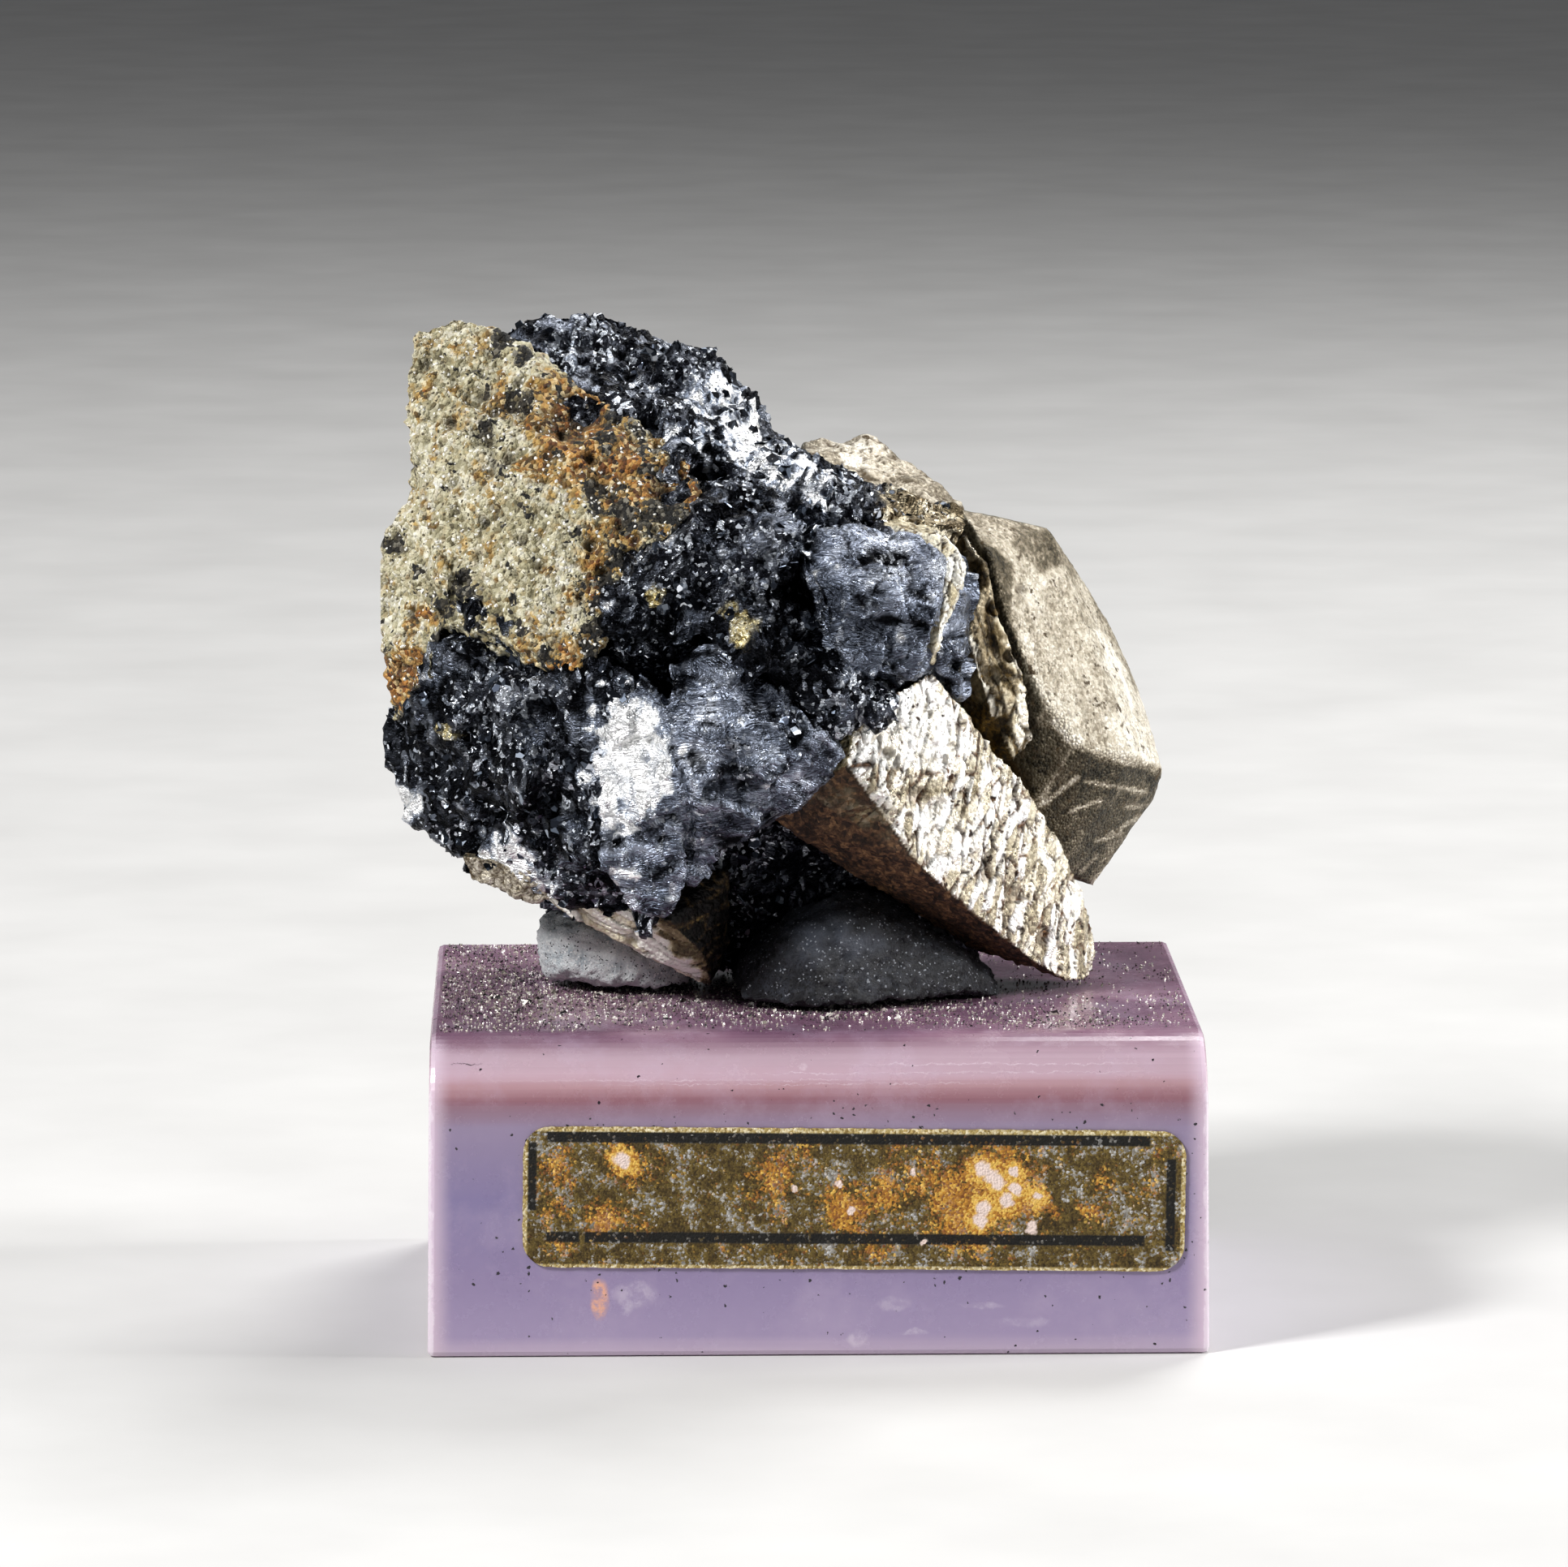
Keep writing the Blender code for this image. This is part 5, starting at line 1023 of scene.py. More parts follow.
block = {
    "width": 40.0, "depth": 30.0, "height": 16.3,
    # bands up the front, in shares of its height: pale foot, lilac body, rose line, pale shoulder, mauve top;
    # the pale foot, the rose line and the pale shoulder are painted light, coming through the block and off its
    # rounded top edge
    "bands": [
        (0.0, "#C0ACC0"), (0.07, "#A090B0"), (0.25, "#9080A4"), (0.5, "#80749C"), (0.73, "#90809C"),
        (0.79, "#8C6C7C"), (0.82, "#8E646E"), (0.86, "#AC888F"), (0.89, "#B89CA8"), (0.94, "#AC94A0"),
        (0.98, "#886C7A")],
    # marks on the front, seen face on: x, z, half width, half height, strength; among the pale ones, those at
    # the left of the top edge and the long thin streaks across the rounded edge are painted highlights
    "pale": [
        (-18.2, 16.25, 1.7, 0.24, 1.0), (-15.4, 16.1, 0.5, 0.12, 0.9), (-16.6, 15.95, 1.0, 0.07, 0.8),
        (-17.4, 16.3, 3.0, 0.1, 0.55), (-12.2, 16.2, 1.6, 0.12, 0.5), (-9.4, 3.3, 1.3, 0.8, 0.26),
        (-9.8, 3.0, 0.5, 0.9, 0.3), (3.9, 2.7, 1.0, 0.4, 0.24),
        (2.0, 0.9, 0.6, 0.5, 0.35), (4.9, 1.2, 0.8, 0.2, 0.3), (10.4, 1.7, 1.6, 0.3, 0.2),
        (8.4, 2.6, 1.3, 0.2, 0.2),
        (-0.8, 14.9, 0.25, 0.2, 0.4), (15.8, 15.6, 1.6, 0.1, 0.45), (14.6, 16.2, 3.4, 0.2, 0.5),
        (-0.2, 14.1, 12.0, 0.035, 0.3), (6.0, 14.6, 13.0, 0.04, 0.3), (-6.0, 14.3, 12.0, 0.03, 0.25),
        (9.0, 15.0, 9.0, 0.035, 0.3)],
    "peach": [(-11.2, 3.05, 0.55, 1.2, 1.0)],
    "black": [(-17.9, 15.1, 0.9, 0.05, 0.9), (-17.1, 15.25, 0.4, 0.04, 0.8)],
    # black specks: cell size, and how large the largest is in its cell
    "specks": [(0.4, 0.22), (0.9, 0.09)],
    "labelEdge": (1.8, 8.2, 17.0, 3.75),  # middle in x and z, and reach from it
    "rim": "#CBB8C6",
}


def blockMesh():
    mesh = cadCopy("block")
    bm = bmesh.new()
    bm.from_mesh(mesh)
    bmesh.ops.dissolve_limit(bm, angle_limit=0.002, verts=bm.verts, edges=bm.edges)
    bmesh.ops.triangulate(bm, faces=bm.faces)
    for _ in range(5):
        long = [e for e in bm.edges if e.calc_length() > 1.3]
        if not long:
            break
        bmesh.ops.subdivide_edges(bm, edges=long, cuts=1)
        bmesh.ops.triangulate(bm, faces=bm.faces)
    bm.to_mesh(mesh)
    bm.free()
    return mesh


def blockMaterial():
    # cast acrylic, tinted lilac and slightly cloudy: glossy, with painted light along its edges and in bands up
    # the front
    material, tree, shader, place = startMaterial("lilac_cast_acrylic")
    axes = addNode(tree, "SeparateXYZ", {0: place})
    normal = addNode(tree, "SeparateXYZ", {0: addNode(tree, "NewGeometry").outputs["Normal"]})
    height = addNode(tree, "Math", {0: axes.outputs[2], 1: 1 / (block["height"] * mm)}, operation="MULTIPLY")
    # painted light in bands up the front, wavered by horizontal streaks
    stretched = addNode(tree, "Mapping", {0: place, "Scale": (40.0, 40.0, 1700.0)})
    streak = addNode(tree, "TexNoise", {"Vector": stretched, "Scale": 1.0, "Detail": 3.0})
    wave = addNode(tree, "Math", {0: streak, 1: 0.5}, operation="SUBTRACT")
    shifted = addNode(tree, "Math", {0: wave, 1: 0.04, 2: height}, operation="MULTIPLY_ADD")
    tone = addNode(tree, "ValToRGB", {0: shifted}, stops=block["bands"])
    # painted light: a pale rim runs down the sides of every upright face
    side = addNode(tree, "Math", {0: addNode(
        tree, "Math", {0: normal.outputs[0]}, operation="ABSOLUTE"), 1: 0.7}, operation="GREATER_THAN")
    fromX, fromY = (
        addNode(tree, "Math", {0: size / 2 * mm, 1: addNode(
            tree, "Math", {0: axes.outputs[axis]}, operation="ABSOLUTE")}, operation="SUBTRACT")
        for axis, size in ((0, block["width"]), (1, block["depth"])))
    near = addNode(tree, "Mix", {0: side, 2: fromX, 3: fromY})
    rim = addNode(tree, "MapRange", {
        0: near, 1: 0.0002, 2: 0.0014, 3: 0.85, 4: 0.0}, interpolation_type="SMOOTHSTEP")
    rimmed = addNode(tree, "Mix", {0: rim, 6: tone, 7: linear(block["rim"])}, data_type="RGBA")
    # painted shade: the top is given a darker plum than the front
    upward = addNode(tree, "MapRange", {0: normal.outputs[2], 1: 0.85, 2: 0.99})
    cloud = addNode(tree, "TexNoise", {"Vector": place, "Scale": 160.0, "Detail": 4.0})
    topTone = addNode(tree, "ValToRGB", {0: cloud}, stops=[
        (0.3, "#664A5E"), (0.5, "#7C5B70"), (0.7, "#987A8A")])
    topped = addNode(tree, "Mix", {0: upward, 6: rimmed, 7: topTone}, data_type="RGBA")
    # faint cloudiness
    haze = addNode(tree, "TexNoise", {"Vector": place, "Scale": 220.0, "Detail": 6.0, "Roughness": 0.7})
    hazeShare = addNode(tree, "MapRange", {0: haze, 1: 0.5, 2: 0.8, 3: 0.0, 4: 0.35})
    hazed = addNode(tree, "Mix", {0: hazeShare, 6: topped, 7: linear("#C0AEC4")}, data_type="RGBA")
    # scuffs, painted highlights, a peach-coloured smear and scratches on the front
    jitter = addNode(tree, "TexNoise", {"Vector": place, "Scale": 1400.0, "Detail": 5.0, "Roughness": 0.7})
    wobble = addNode(tree, "VectorMath", {
        0: jitter.outputs["Color"], 1: (0.5, 0.5, 0.5)}, operation="SUBTRACT")
    wobbled = addNode(tree, "VectorMath", {0: wobble, "Scale": 0.0006}, operation="SCALE")
    moved = addNode(tree, "VectorMath", {0: place, 1: wobbled}, operation="ADD")
    inMm = addNode(tree, "VectorMath", {0: moved, "Scale": 1000.0}, operation="SCALE")
    forward = addNode(tree, "Math", {
        0: axes.outputs[1], 1: (1.0 - block["depth"] / 2) * mm}, operation="LESS_THAN")
    broken = addNode(tree, "MapRange", {0: jitter, 1: 0.44, 2: 0.56, 3: 0.25, 4: 1.0})

    def marked(marks, below, colour):
        total = None
        for x, z, halfWidth, halfHeight, strength in marks:
            off = addNode(tree, "VectorMath", {0: inMm, 1: (x, 0.0, z)}, operation="SUBTRACT")
            fitted = addNode(tree, "VectorMath", {
                0: off, 1: (1 / halfWidth, 0.0, 1 / halfHeight)}, operation="MULTIPLY")
            away = addNode(tree, "VectorMath", {0: fitted}, operation="LENGTH")
            share = addNode(tree, "MapRange", {0: away.outputs["Value"], 1: 1.0, 2: 0.6, 3: 0.0, 4: strength})
            total = share if total is None else addNode(tree, "Math", {
                0: total, 1: share}, operation="MAXIMUM")
        inBits = addNode(tree, "Math", {0: total, 1: broken}, operation="MULTIPLY")
        onFront = addNode(tree, "Math", {0: inBits, 1: forward}, operation="MULTIPLY")
        return addNode(tree, "Mix", {0: onFront, 6: below, 7: linear(colour)}, data_type="RGBA")

    worn = marked(block["pale"], hazed, "#E4D8E2")
    worn = marked(block["peach"], worn, "#E2A98E")
    worn = marked(block["black"], worn, "#2A2028")
    # black specks lie thickest around the label
    labelX, labelZ, reachX, reachZ = block["labelEdge"]
    fromLabel = []
    for axis, middle, reach in ((0, labelX, reachX), (2, labelZ, reachZ)):
        off = addNode(tree, "Math", {0: axes.outputs[axis], 1: middle * mm}, operation="SUBTRACT")
        size = addNode(tree, "Math", {0: off}, operation="ABSOLUTE")
        fromLabel.append(addNode(tree, "Math", {0: size, 1: reach * mm}, operation="SUBTRACT"))
    outside = addNode(tree, "Math", {0: fromLabel[0], 1: fromLabel[1]}, operation="MAXIMUM")
    crowd = addNode(tree, "MapRange", {0: outside, 1: 0.0, 2: 0.0022, 3: 0.35, 4: 0.9})
    for size, tallest in block["specks"]:
        speck = addNode(tree, "TexVoronoi", {"Vector": moved, "Scale": 1 / (size * mm)})
        speckSplit = addNode(tree, "SeparateColor", {0: speck.outputs["Color"]})
        speckSize = addNode(tree, "MapRange", {
            0: speckSplit.outputs[0], 1: crowd, 2: 1.0, 3: 0.0, 4: tallest})
        isSpeck = addNode(tree, "Math", {0: speck.outputs["Distance"], 1: speckSize}, operation="LESS_THAN")
        worn = addNode(tree, "Mix", {0: isSpeck, 6: worn, 7: linear("#1E1820")}, data_type="RGBA")
    # the edges are rubbed and chipped, so they catch the light
    chipNoise = addNode(tree, "TexNoise", {"Vector": place, "Scale": 1100.0, "Detail": 5.0, "Roughness": 0.7})
    cornerGap = addNode(tree, "Math", {0: fromX, 1: fromY}, operation="MAXIMUM")
    chipEdge = addNode(tree, "Math", {0: chipNoise, 1: -0.0007, 2: cornerGap}, operation="MULTIPLY_ADD")
    chipShare = addNode(tree, "MapRange", {0: chipEdge, 1: -0.00012, 2: -0.00002, 3: 0.75, 4: 0.0})
    worn = addNode(tree, "Mix", {0: chipShare, 6: worn, 7: linear("#D6CAD4")}, data_type="RGBA")
    wear = addNode(tree, "TexNoise", {"Vector": place, "Scale": 500.0, "Detail": 6.0, "Roughness": 0.75})
    rough = addNode(tree, "MapRange", {0: wear, 1: 0.35, 2: 0.75, 3: 0.12, 4: 0.42})
    bump = addNode(tree, "Bump", {"Height": wear, "Distance": 0.00002, "Strength": 0.3})
    setInputs(tree, shader, {
        "Base Color": worn, "Roughness": rough, "IOR": 1.49, "Subsurface Weight": 0.25,
        "Subsurface Radius": (0.0022, 0.0016, 0.0020), "Subsurface Scale": 1.0, "Normal": bump})
    return material


# foil label

label = {
    "width": 33.8, "height": 7.3, "corner": 1.4, "thickness": 0.10, "glue": 0.04, "grain": 0.12,
    "rubbed": (0.22, 0.16, 0.24),  # bright edge at the sides, foot and top
    "middle": (1.8, 8.2), "tilt": 0.7,
    "lines": [  # printed border: left, right, bottom, top, from the label's middle
        (-15.7, 15.05, 2.83, 3.45), (-15.7, -14.0, -2.35, -1.78), (-13.75, 14.87, -2.35, -1.78),
        (-16.65, -16.2, -0.7, 2.85), (15.9, 16.4, -2.6, 2.2)],
    "chips": [  # places where the foil has gone and pale backing shows: x, z, radius
        (-11.9, 2.05, 0.4), (-11.7, 1.75, 0.28), (6.5, 1.6, 0.42), (6.95, 1.25, 0.45), (7.3, 0.95, 0.45),
        (8.1, 1.45, 0.26), (8.2, 0.6, 0.34), (7.75, -0.05, 0.4), (6.6, -0.45, 0.42), (6.45, -1.05, 0.42),
        (9.35, 0.2, 0.24), (9.1, -1.3, 0.3), (9.05, -1.6, 0.28),
        (3.6, -2.2, 0.18), (-3.1, 0.6, 0.2), (-0.8, 0.8, 0.2), (-0.2, -0.6, 0.22), (3.0, 1.4, 0.2)],
    "orange": [
        (-11.5, 1.3, 0.6), (-15.4, 1.0, 0.9), (-15.2, -0.6, 0.8), (-13.0, -1.2, 0.7), (6.9, 1.3, 1.5),
        (8.4, 0.4, 1.2), (7.6, -0.3, 1.3), (9.3, -0.4, 0.8), (4.9, 0.6, 1.2), (12.0, -0.6, 0.6),
        (12.4, 0.9, 0.8), (14.6, 0.6, 0.6), (1.6, 0.4, 0.9), (-0.6, -0.4, 1.0), (-4.4, 1.2, 0.7),
        (5.4, -1.4, 1.2), (1.0, -2.9, 0.8), (-15.0, -2.6, 0.6)],
}


def labelMesh():
    bm = bmesh.new()
    half = (label["width"] / 2, label["height"] / 2)
    corner = label["corner"]
    outline = []
    for quarter, (side, level) in enumerate(((1, 1), (-1, 1), (-1, -1), (1, -1))):
        for step in range(9):
            angle = math.pi / 2 * (quarter + step / 8)
            outline.append((
                side * (half[0] - corner) + corner * math.cos(angle),
                level * (half[1] - corner) + corner * math.sin(angle), 0.0))
    bm.faces.new([bm.verts.new(point) for point in outline])
    # cut into small squares so that blisters and the worn edge can be shaped
    spacing = 0.2
    for axis, reach in ((0, half[0]), (1, half[1])):
        place = -reach + spacing
        while place < reach:
            point = Vector((0.0, 0.0, 0.0))
            point[axis] = place
            way = Vector((0.0, 0.0, 0.0))
            way[axis] = 1.0
            bmesh.ops.bisect_plane(
                bm, geom=bm.verts[:] + bm.edges[:] + bm.faces[:], plane_co=point, plane_no=way)
            place += spacing
    for v in bm.verts:
        edge = min(half[0] - abs(v.co.x), half[1] - abs(v.co.y))
        rough = noise.fractal(v.co / 0.7, 1.0, 2.0, 3) * 0.030
        v.co.z += rough if edge > 0.1 else rough * 0.4
        if edge < 0.02:
            v.co.x += noise.noise(v.co * 2.3) * 0.05
            v.co.y += noise.noise(v.co * 2.3 + Vector((9.0, 0.0, 0.0))) * 0.05
    back = bmesh.ops.extrude_face_region(bm, geom=bm.faces[:])
    moved = [g for g in back["geom"] if isinstance(g, bmesh.types.BMVert)]
    for v in moved:
        v.co.z = -label["thickness"]
    bmesh.ops.recalc_face_normals(bm, faces=bm.faces)
    stand = Matrix.Rotation(math.radians(90), 4, "X")
    tilt = Matrix.Rotation(math.radians(label["tilt"]), 4, "Y")
    front = -block["depth"] / 2 - label["thickness"] - label["glue"]
    place = Matrix.Translation((label["middle"][0], front, label["middle"][1]))
    bmesh.ops.transform(bm, matrix=place @ tilt @ stand, verts=bm.verts)
    return asMesh(bm, "label")


def labelMaterial():
    # gold foil paper, corroded with age: dark olive metal under orange and grey grains, black printed border
    material, tree, shader, place = startMaterial("corroded_gold_foil")
    centred = addNode(tree, "VectorMath", {
        0: place, 1: (label["middle"][0] * mm, 0.0, label["middle"][1] * mm)}, operation="SUBTRACT")
    turned = addNode(tree, "Mapping", {
        0: centred, "Rotation": (0.0, -math.radians(label["tilt"]), 0.0), "Scale": (1000.0, 1000.0, 1000.0)})
    jitter = addNode(tree, "TexNoise", {"Vector": place, "Scale": 2500.0, "Detail": 3.0})
    wobble = addNode(tree, "VectorMath", {
        0: jitter.outputs["Color"], 1: (0.5, 0.5, 0.5)}, operation="SUBTRACT")
    wobbled = addNode(tree, "VectorMath", {0: wobble, "Scale": 0.55}, operation="SCALE")
    spot = addNode(tree, "VectorMath", {0: turned, 1: wobbled}, operation="ADD")
    axes = addNode(tree, "SeparateXYZ", {0: turned})

    def strongest(values):
        total = values[0]
        for value in values[1:]:
            total = addNode(tree, "Math", {0: total, 1: value}, operation="MAXIMUM")
        return total

    def inside(left, right, bottom, top):
        middle = ((left + right) / 2, (bottom + top) / 2)
        reach = ((right - left) / 2, (top - bottom) / 2)
        parts = []
        for axis, centre, half in ((0, middle[0], reach[0]), (2, middle[1], reach[1])):
            off = addNode(tree, "Math", {0: axes.outputs[axis], 1: centre}, operation="SUBTRACT")
            away = addNode(tree, "Math", {0: off}, operation="ABSOLUTE")
            parts.append(addNode(tree, "MapRange", {0: away, 1: half + 0.04, 2: half - 0.05}))
        return addNode(tree, "Math", {0: parts[0], 1: parts[1]}, operation="MULTIPLY")

    def blot(x, z, radius, sharp=0.7):
        flat = addNode(tree, "VectorMath", {0: spot, 1: (1.0, 0.0, 1.0)}, operation="MULTIPLY")
        away = addNode(tree, "VectorMath", {0: flat, 1: (x, 0.0, z)}, operation="DISTANCE")
        return addNode(tree, "MapRange", {0: away.outputs["Value"], 1: radius * 1.1, 2: radius * sharp})

    ink = strongest([inside(*line) for line in label["lines"]])
    sides, foot, top = label["rubbed"]
    halfWidth, halfHeight = label["width"] / 2, label["height"] / 2
    bare = inside(sides - halfWidth, halfWidth - sides, foot - halfHeight, halfHeight - top)
    chip = strongest([blot(*place) for place in label["chips"]])
    orange = strongest([blot(x, z, radius * 1.9, 0.1) for x, z, radius in label["orange"]])
    aroundChips = strongest([blot(x, z, radius + 0.45, 0.6) for x, z, radius in label["chips"][:11]])
    cloud = addNode(tree, "TexNoise", {"Vector": place, "Scale": 800.0, "Detail": 5.0, "Roughness": 0.7})
    tarnish = addNode(tree, "TexNoise", {
        "Vector": place, "Scale": 420.0, "Detail": 5.0, "Roughness": 0.75, "Distortion": 0.6})
    grain = addNode(tree, "TexVoronoi", {"Vector": place, "Scale": 1 / (label["grain"] * mm)})
    split = addNode(tree, "SeparateColor", {0: grain.outputs["Color"]})
    mottle = addNode(tree, "Mix", {0: 0.2, 2: cloud, 3: split.outputs[2]})
    foil = addNode(tree, "ValToRGB", {0: mottle}, stops=[
        (0.28, "#2C2210"), (0.42, "#4C3C1C"), (0.58, "#73602F"), (0.75, "#A48C50")])
    # grey crust and orange tarnish come in clouds, each broken up into grains
    greyClump = addNode(tree, "Math", {0: cloud, 1: 1.7}, operation="MULTIPLY")
    greyCloud = addNode(tree, "Math", {0: split.outputs[0], 1: 0.35, 2: greyClump}, operation="MULTIPLY_ADD")
    greyShare = addNode(tree, "MapRange", {0: greyCloud, 1: 1.12, 2: 1.22, 3: 0.0, 4: 0.85})
    greyTone = addNode(tree, "ValToRGB", {0: split.outputs[1]}, stops=[
        (0.0, "#6E6A66"), (0.6, "#9A9894"), (1.0, "#C8C8C8")])
    greyed = addNode(tree, "Mix", {0: greyShare, 6: foil, 7: greyTone}, data_type="RGBA")
    tarnished = addNode(tree, "Math", {0: tarnish, 1: 1.6}, operation="MULTIPLY")
    drift = addNode(tree, "Math", {0: orange, 1: 0.34, 2: tarnished}, operation="MULTIPLY_ADD")
    gold = addNode(tree, "Math", {0: split.outputs[1], 1: 0.32, 2: drift}, operation="MULTIPLY_ADD")
    ringed = addNode(tree, "Math", {0: aroundChips, 1: 0.3, 2: gold}, operation="MULTIPLY_ADD")
    goldShare = addNode(tree, "MapRange", {0: ringed, 1: 1.12, 2: 1.26, 3: 0.0, 4: 0.85})
    goldMix = addNode(tree, "Math", {0: aroundChips, 1: 0.5, 2: split.outputs[2]}, operation="MULTIPLY_ADD")
    goldTone = addNode(tree, "ValToRGB", {0: goldMix}, stops=[
        (0.0, "#7A4212"), (0.4, "#A86C1C"), (0.75, "#CC8E26"), (1.0, "#EEC058")])
    golden = addNode(tree, "Mix", {0: goldShare, 6: greyed, 7: goldTone}, data_type="RGBA")
    inkWorn = addNode(tree, "MapRange", {0: split.outputs[0], 1: 0.84, 2: 0.97, 3: 0.98, 4: 0.5})
    inkShare = addNode(tree, "Math", {0: ink, 1: inkWorn}, operation="MULTIPLY")
    printed = addNode(tree, "Mix", {0: inkShare, 6: golden, 7: linear("#0B0A09")}, data_type="RGBA")
    # the edge has rubbed bright
    rubbedTone = addNode(tree, "ValToRGB", {0: split.outputs[0]}, stops=[
        (0.0, "#8C7440"), (0.45, "#C8B070"), (1.0, "#F4E8C4")])
    edgeShare = addNode(tree, "MapRange", {0: bare, 3: 0.85, 4: 0.0})
    rubbed = addNode(tree, "Mix", {0: edgeShare, 6: printed, 7: rubbedTone}, data_type="RGBA")
    chipped = addNode(tree, "Mix", {0: chip, 6: rubbed, 7: linear("#E8D2C8")}, data_type="RGBA")
    metallic = addNode(tree, "MapRange", {
        0: strongest([chip, inkShare, greyShare, goldShare]), 3: 0.55, 4: 0.05})
    # the ink is dull, the foil around it less so
    rough = addNode(tree, "MapRange", {0: inkShare, 3: 0.5, 4: 0.95})
    height = addNode(tree, "Math", {
        0: grain.outputs["Distance"], 1: -1.0, 2: cloud}, operation="MULTIPLY_ADD")
    bump = addNode(tree, "Bump", {"Height": height, "Distance": 0.00006, "Strength": 0.8})
    setInputs(tree, shader, {"Base Color": chipped, "Metallic": metallic, "Roughness": rough, "Normal": bump})
    return material


# dust and flakes

dust = {
    "blockTop": {"density": 15.0, "size": (0.022, 0.085), "seed": 4},
    "crumbs": {"density": 0.5, "size": (0.12, 0.26), "seed": 9},
    "flakes": {"density": 0.9, "size": (0.16, 0.46), "seed": 6},
    "shade": 0.35,  # grains this close share a shade
    "area": (19.4, 13.2), "back": 1.4, "above": 0.03,  # where they lie on the block's top
}


def grainMaterial(name, stops, metallic):
    # crushed ore: each grain has its own shade, most of them black, a few bright
    material, tree, shader, place = startMaterial(name)
    cells = addNode(tree, "TexVoronoi", {"Vector": place, "Scale": 1 / (dust["shade"] * mm)})
    split = addNode(tree, "SeparateColor", {0: cells.outputs["Color"]})
    tone = addNode(tree, "ValToRGB", {0: split.outputs[0]}, stops=stops)
    rough = addNode(tree, "MapRange", {0: split.outputs[1], 3: 0.2, 4: 0.6})
    setInputs(tree, shader, {"Base Color": tone, "Metallic": metallic, "Roughness": rough})
    return material


def scatterTree(name, flat):
    # Geometry Nodes: grains or plates over a surface, as dense as its "thick" attribute says
    tree = bpy.data.node_groups.new(name, "GeometryNodeTree")
    tree.is_modifier = True
    face = tree.interface
    face.new_socket("Geometry", in_out="INPUT", socket_type="NodeSocketGeometry")
    for socket, kind in (
            ("Per square millimetre", "NodeSocketFloat"), ("Smallest", "NodeSocketFloat"),
            ("Largest", "NodeSocketFloat"), ("Seed", "NodeSocketInt"), ("Finish", "NodeSocketMaterial")):
        face.new_socket(socket, in_out="INPUT", socket_type=kind)
    face.new_socket("Geometry", in_out="OUTPUT", socket_type="NodeSocketGeometry")
    given = addNode(tree, "NodeGroupInput")
    thick = addNode(tree, "GeometryNodeInputNamedAttribute", {"Name": "thick"}, data_type="FLOAT")
    density = addNode(tree, "Math", {
        0: given.outputs["Per square millimetre"], 1: thick}, operation="MULTIPLY")
    points = addNode(tree, "GeometryNodeDistributePointsOnFaces", {
        "Mesh": given.outputs["Geometry"], "Density": density, "Seed": given.outputs["Seed"]})
    if flat:
        shape = addNode(tree, "GeometryNodeMeshCylinder", {"Vertices": 5, "Radius": 1.0, "Depth": 0.14})
    else:
        shape = addNode(tree, "GeometryNodeMeshCone", {
            "Vertices": 4, "Radius Top": 0.0, "Radius Bottom": 1.0, "Depth": 1.3})
    around = addNode(tree, "FunctionNodeRandomValue", {
        0: (-0.7, -0.7, 0.0) if flat else (0.0, 0.0, 0.0),
        1: (0.7, 0.7, 6.28) if flat else (6.28, 6.28, 6.28),
        "Seed": given.outputs["Seed"]}, data_type="FLOAT_VECTOR")
    size = addNode(tree, "FunctionNodeRandomValue", {
        2: given.outputs["Smallest"], 3: given.outputs["Largest"],
        "Seed": given.outputs["Seed"]}, data_type="FLOAT")
    uneven = addNode(tree, "FunctionNodeRandomValue", {
        0: (0.6, 0.6, 0.6), 1: (1.3, 1.3, 1.3), "Seed": given.outputs["Seed"]}, data_type="FLOAT_VECTOR")
    scale = addNode(tree, "VectorMath", {0: uneven, "Scale": size.outputs[1]}, operation="SCALE")
    turned = addNode(tree, "FunctionNodeRotateRotation", {
        "Rotation": points.outputs["Rotation"], "Rotate By": around}, rotation_space="LOCAL")
    placed = addNode(tree, "GeometryNodeInstanceOnPoints", {
        "Points": points.outputs["Points"], "Instance": shape.outputs["Mesh"],
        "Rotation": turned, "Scale": scale})
    real = addNode(tree, "GeometryNodeRealizeInstances", {0: placed})
    painted = addNode(tree, "GeometryNodeSetMaterial", {
        "Geometry": real, "Material": given.outputs["Finish"]})
    addNode(tree, "NodeGroupOutput", {0: painted})
    return tree


def scattered(tree, emitter, settings, material):
    holder = inScene("emitter", emitter)
    modifier = holder.modifiers.new("grains", "NODES")
    modifier.node_group = tree
    wanted = {
        "Per square millimetre": settings["density"], "Smallest": settings["size"][0],
        "Largest": settings["size"][1], "Seed": settings["seed"], "Finish": material}
    for socket in tree.interface.items_tree:
        if socket.in_out == "INPUT" and socket.name in wanted:
            modifier[socket.identifier] = wanted[socket.name]
    graph = bpy.context.evaluated_depsgraph_get()
    result = bpy.data.meshes.new_from_object(holder.evaluated_get(graph))
    holder.modifiers.remove(modifier)
    bpy.data.objects.remove(holder)
    return result


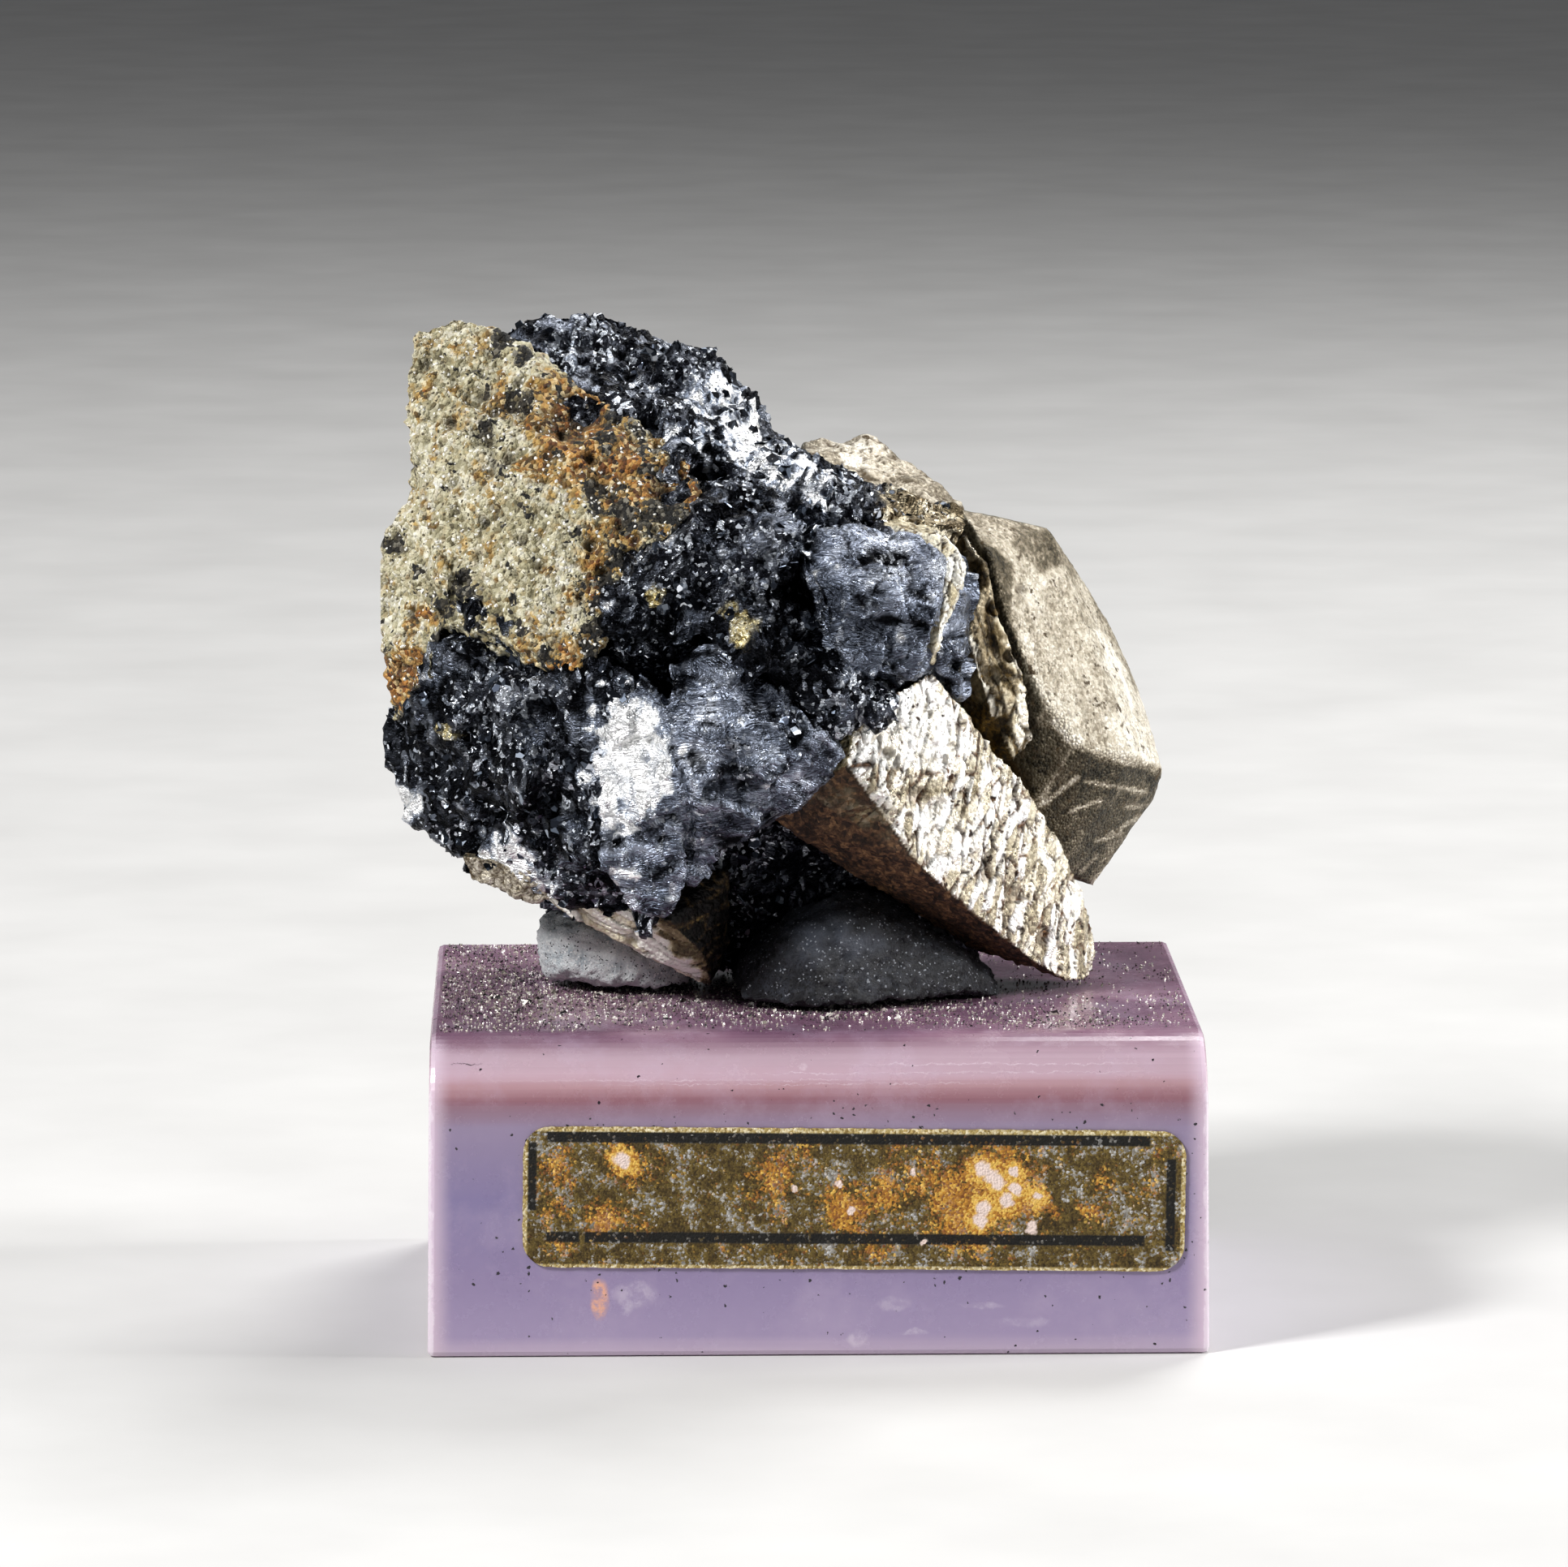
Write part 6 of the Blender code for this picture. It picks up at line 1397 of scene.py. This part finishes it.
def blockTopEmitter(crumbs):
    bm = bmesh.new()
    bmesh.ops.create_grid(bm, x_segments=80, y_segments=58, size=1.0)
    reachX, reachY = dust["area"]
    for v in bm.verts:
        v.co = Vector((v.co.x * reachX, dust["back"] + v.co.y * reachY, block["height"] + dust["above"]))
    mesh = asMesh(bm, "block_top")
    co = arrays(mesh)[0]
    x, y = co[:, 0], co[:, 1]
    nearLeft = np.exp(-(((x + 10) / 6.5) ** 2 + ((y + 1) / 6.0) ** 2))
    nearRight = np.exp(-(((x - 2) / 8.0) ** 2 + ((y + 5) / 3.2) ** 2))
    leftSide = stepped(-x, 6.0, 16.0) * 0.8
    rightPatch = np.exp(-(((x - 13) / 4.5) ** 2 + ((y + 9.6) / 1.6) ** 2)) * 1.1
    ragged = swell(co, 2.2, 4, 3.0)
    if crumbs:
        thick = np.clip(nearLeft * 1.2 + nearRight * 1.4 + ragged * 0.8 - 0.3, 0.0, 1.5)
    else:
        thick = np.clip(0.18 + nearLeft + nearRight * 1.1 + leftSide + rightPatch + ragged * 0.7, 0.03, 1.6)
    thick *= stepped(y + ragged * 1.6, -12.6, -9.6)
    setAttributes(mesh, thick=thick)
    return mesh


def flakeEmitter(sources):
    bm = bmesh.new()
    for source in sources:
        bm.from_mesh(source.data)
    mesh = asMesh(bm, "ore_surface")
    mesh.transform(Matrix.Scale(1000.0, 4))
    lobe = np.empty(len(mesh.vertices), dtype=np.float32)
    mesh.attributes["lobe"].data.foreach_get("value", lobe)
    patches = stepped(swell(arrays(mesh)[0], 2.5, 3, 3.0), -0.5, 0.3)
    setAttributes(mesh, thick=np.clip(1.0 - lobe, 0.0, 1.0) * patches)
    return mesh


# making the pieces

oreMaterial = ironBlackMaterial()
ore = [
    addPiece("iron_black_" + group, ironBlackMesh(group), oreMaterial, "specimen")
    for group in ("ridge", "mass", "lobes")]
addPiece("ochre_crust", crustMesh(), crustMaterial(), "specimen")
brightMaterial = pyriteMaterial("pyrite_bright_striated", brightPyrite)
agedMaterial = pyriteMaterial("pyrite_aged_granular", agedPyrite)
goldMaterial = pyriteMaterial("pyrite_gold_brown", goldPyrite)
creamMaterial = pyriteMaterial("pyrite_dull_cream", creamPyrite)
finishOf = {
    "blade": brightMaterial, "block": agedMaterial, "step": goldMaterial, "foot": creamMaterial,
    "chip": agedMaterial, "topCrust": agedMaterial, "rim": creamMaterial}
for key, settings in pyrite.items():
    addPiece("pyrite_" + key.lower(), crystalMesh(settings), finishOf[key], "specimen")
addPiece("pyrite_far_cubes", farCubesMesh(), agedMaterial, "specimen")
for side, finish in (("left", "mounting_putty_pale"), ("right", "mounting_putty_dark")):
    node = "putty_" + side
    addPiece("putty_lump_" + side, puttyMesh(node), puttyMaterial(finish, putty[side]), node)
addPiece("acrylic_block", blockMesh(), blockMaterial(), "block", smooth=False)
addPiece("foil_label", labelMesh(), labelMaterial(), "label", smooth=False)

dustMaterial = grainMaterial("crushed_ore_dust", [
    (0.0, "#141315"), (0.32, "#3C3838"), (0.5, "#8C857A"), (0.72, "#CBC4B6"), (1.0, "#FFFDF8")], 0.3)
flakeMaterial = grainMaterial("hematite_flakes", [
    (0.0, "#0A0B0E"), (0.5, "#262A32"), (0.75, "#5C6470"), (0.9, "#AEB6C2"), (1.0, "#F4F7FC")], 1.0)
grainTree = scatterTree("scattered_grains", False)
plateTree = scatterTree("scattered_plates", True)
for name, tree, emitter, settings, material in (
        ("ore_dust", grainTree, blockTopEmitter(False), dust["blockTop"], dustMaterial),
        ("ore_crumbs", grainTree, blockTopEmitter(True), dust["crumbs"], dustMaterial),
        ("hematite_flakes", plateTree, flakeEmitter(ore), dust["flakes"], flakeMaterial)):
    addPiece(name, scattered(tree, emitter, settings, material), material, smooth=False)


# floor, light and camera

def floorMaterial():
    # matt painted board, pale warm grey, with a trace of paper grain
    material, tree, shader, place = startMaterial("pale_studio_board")
    grain = addNode(tree, "TexNoise", {"Vector": place, "Scale": 60.0, "Detail": 4.0})
    tone = addNode(tree, "ValToRGB", {0: grain}, stops=[(0.3, "#C2C1BF"), (0.7, "#CBCAC8")])
    setInputs(tree, shader, {"Base Color": tone, "Roughness": 0.75})
    return material


bm = bmesh.new()
bmesh.ops.create_grid(bm, x_segments=1, y_segments=1, size=3.0)
floor = inScene("floor", asMesh(bm, "floor"))
floor.data.materials.append(floorMaterial())

studio = {
    "lamps": [  # name, place, size and power: metres and watts
        ("key_left", (-0.36, -0.26, 0.38), 0.11, 4.0),
        ("edge_right", (0.50, 0.00, 0.18), 0.16, 3.0),
        ("back_top", (0.16, 0.30, 0.46), 0.20, 2.0)],
    "aim": (0.0, 0.0, 0.03), "sky": "#E6E8EC", "skyPower": 0.14,
    # the camera that was fitted to the photograph, in millimetres
    "eye": (-12.323, -436.955, 94.218), "target": (-1.79, -15.0, 29.63), "sensor": 36.0, "lens": 193.75,
}
for name, place, size, power in studio["lamps"]:
    data = bpy.data.lights.new(name, "AREA")
    data.size = size
    data.energy = power
    lamp = inScene(name, data)
    lamp.location = place
    lamp.rotation_mode = "QUATERNION"
    lamp.rotation_quaternion = (Vector(studio["aim"]) - Vector(place)).to_track_quat("-Z", "Y")

world = bpy.data.worlds.new("studio")
bpy.context.scene.world = world
world.use_nodes = True
setInputs(world.node_tree, world.node_tree.nodes["Background"], {
    "Color": linear(studio["sky"]), "Strength": studio["skyPower"]})

bpy.context.scene.view_settings.view_transform = "Standard"

camera = inScene("camera", bpy.data.cameras.new("camera"))
camera.data.sensor_width = studio["sensor"]
camera.data.lens = studio["lens"]
camera.data.clip_start = 0.01
camera.location = Vector(studio["eye"]) * mm
camera.rotation_mode = "QUATERNION"
camera.rotation_quaternion = (Vector(studio["target"]) * mm - camera.location).to_track_quat("-Z", "Y")
bpy.context.scene.camera = camera
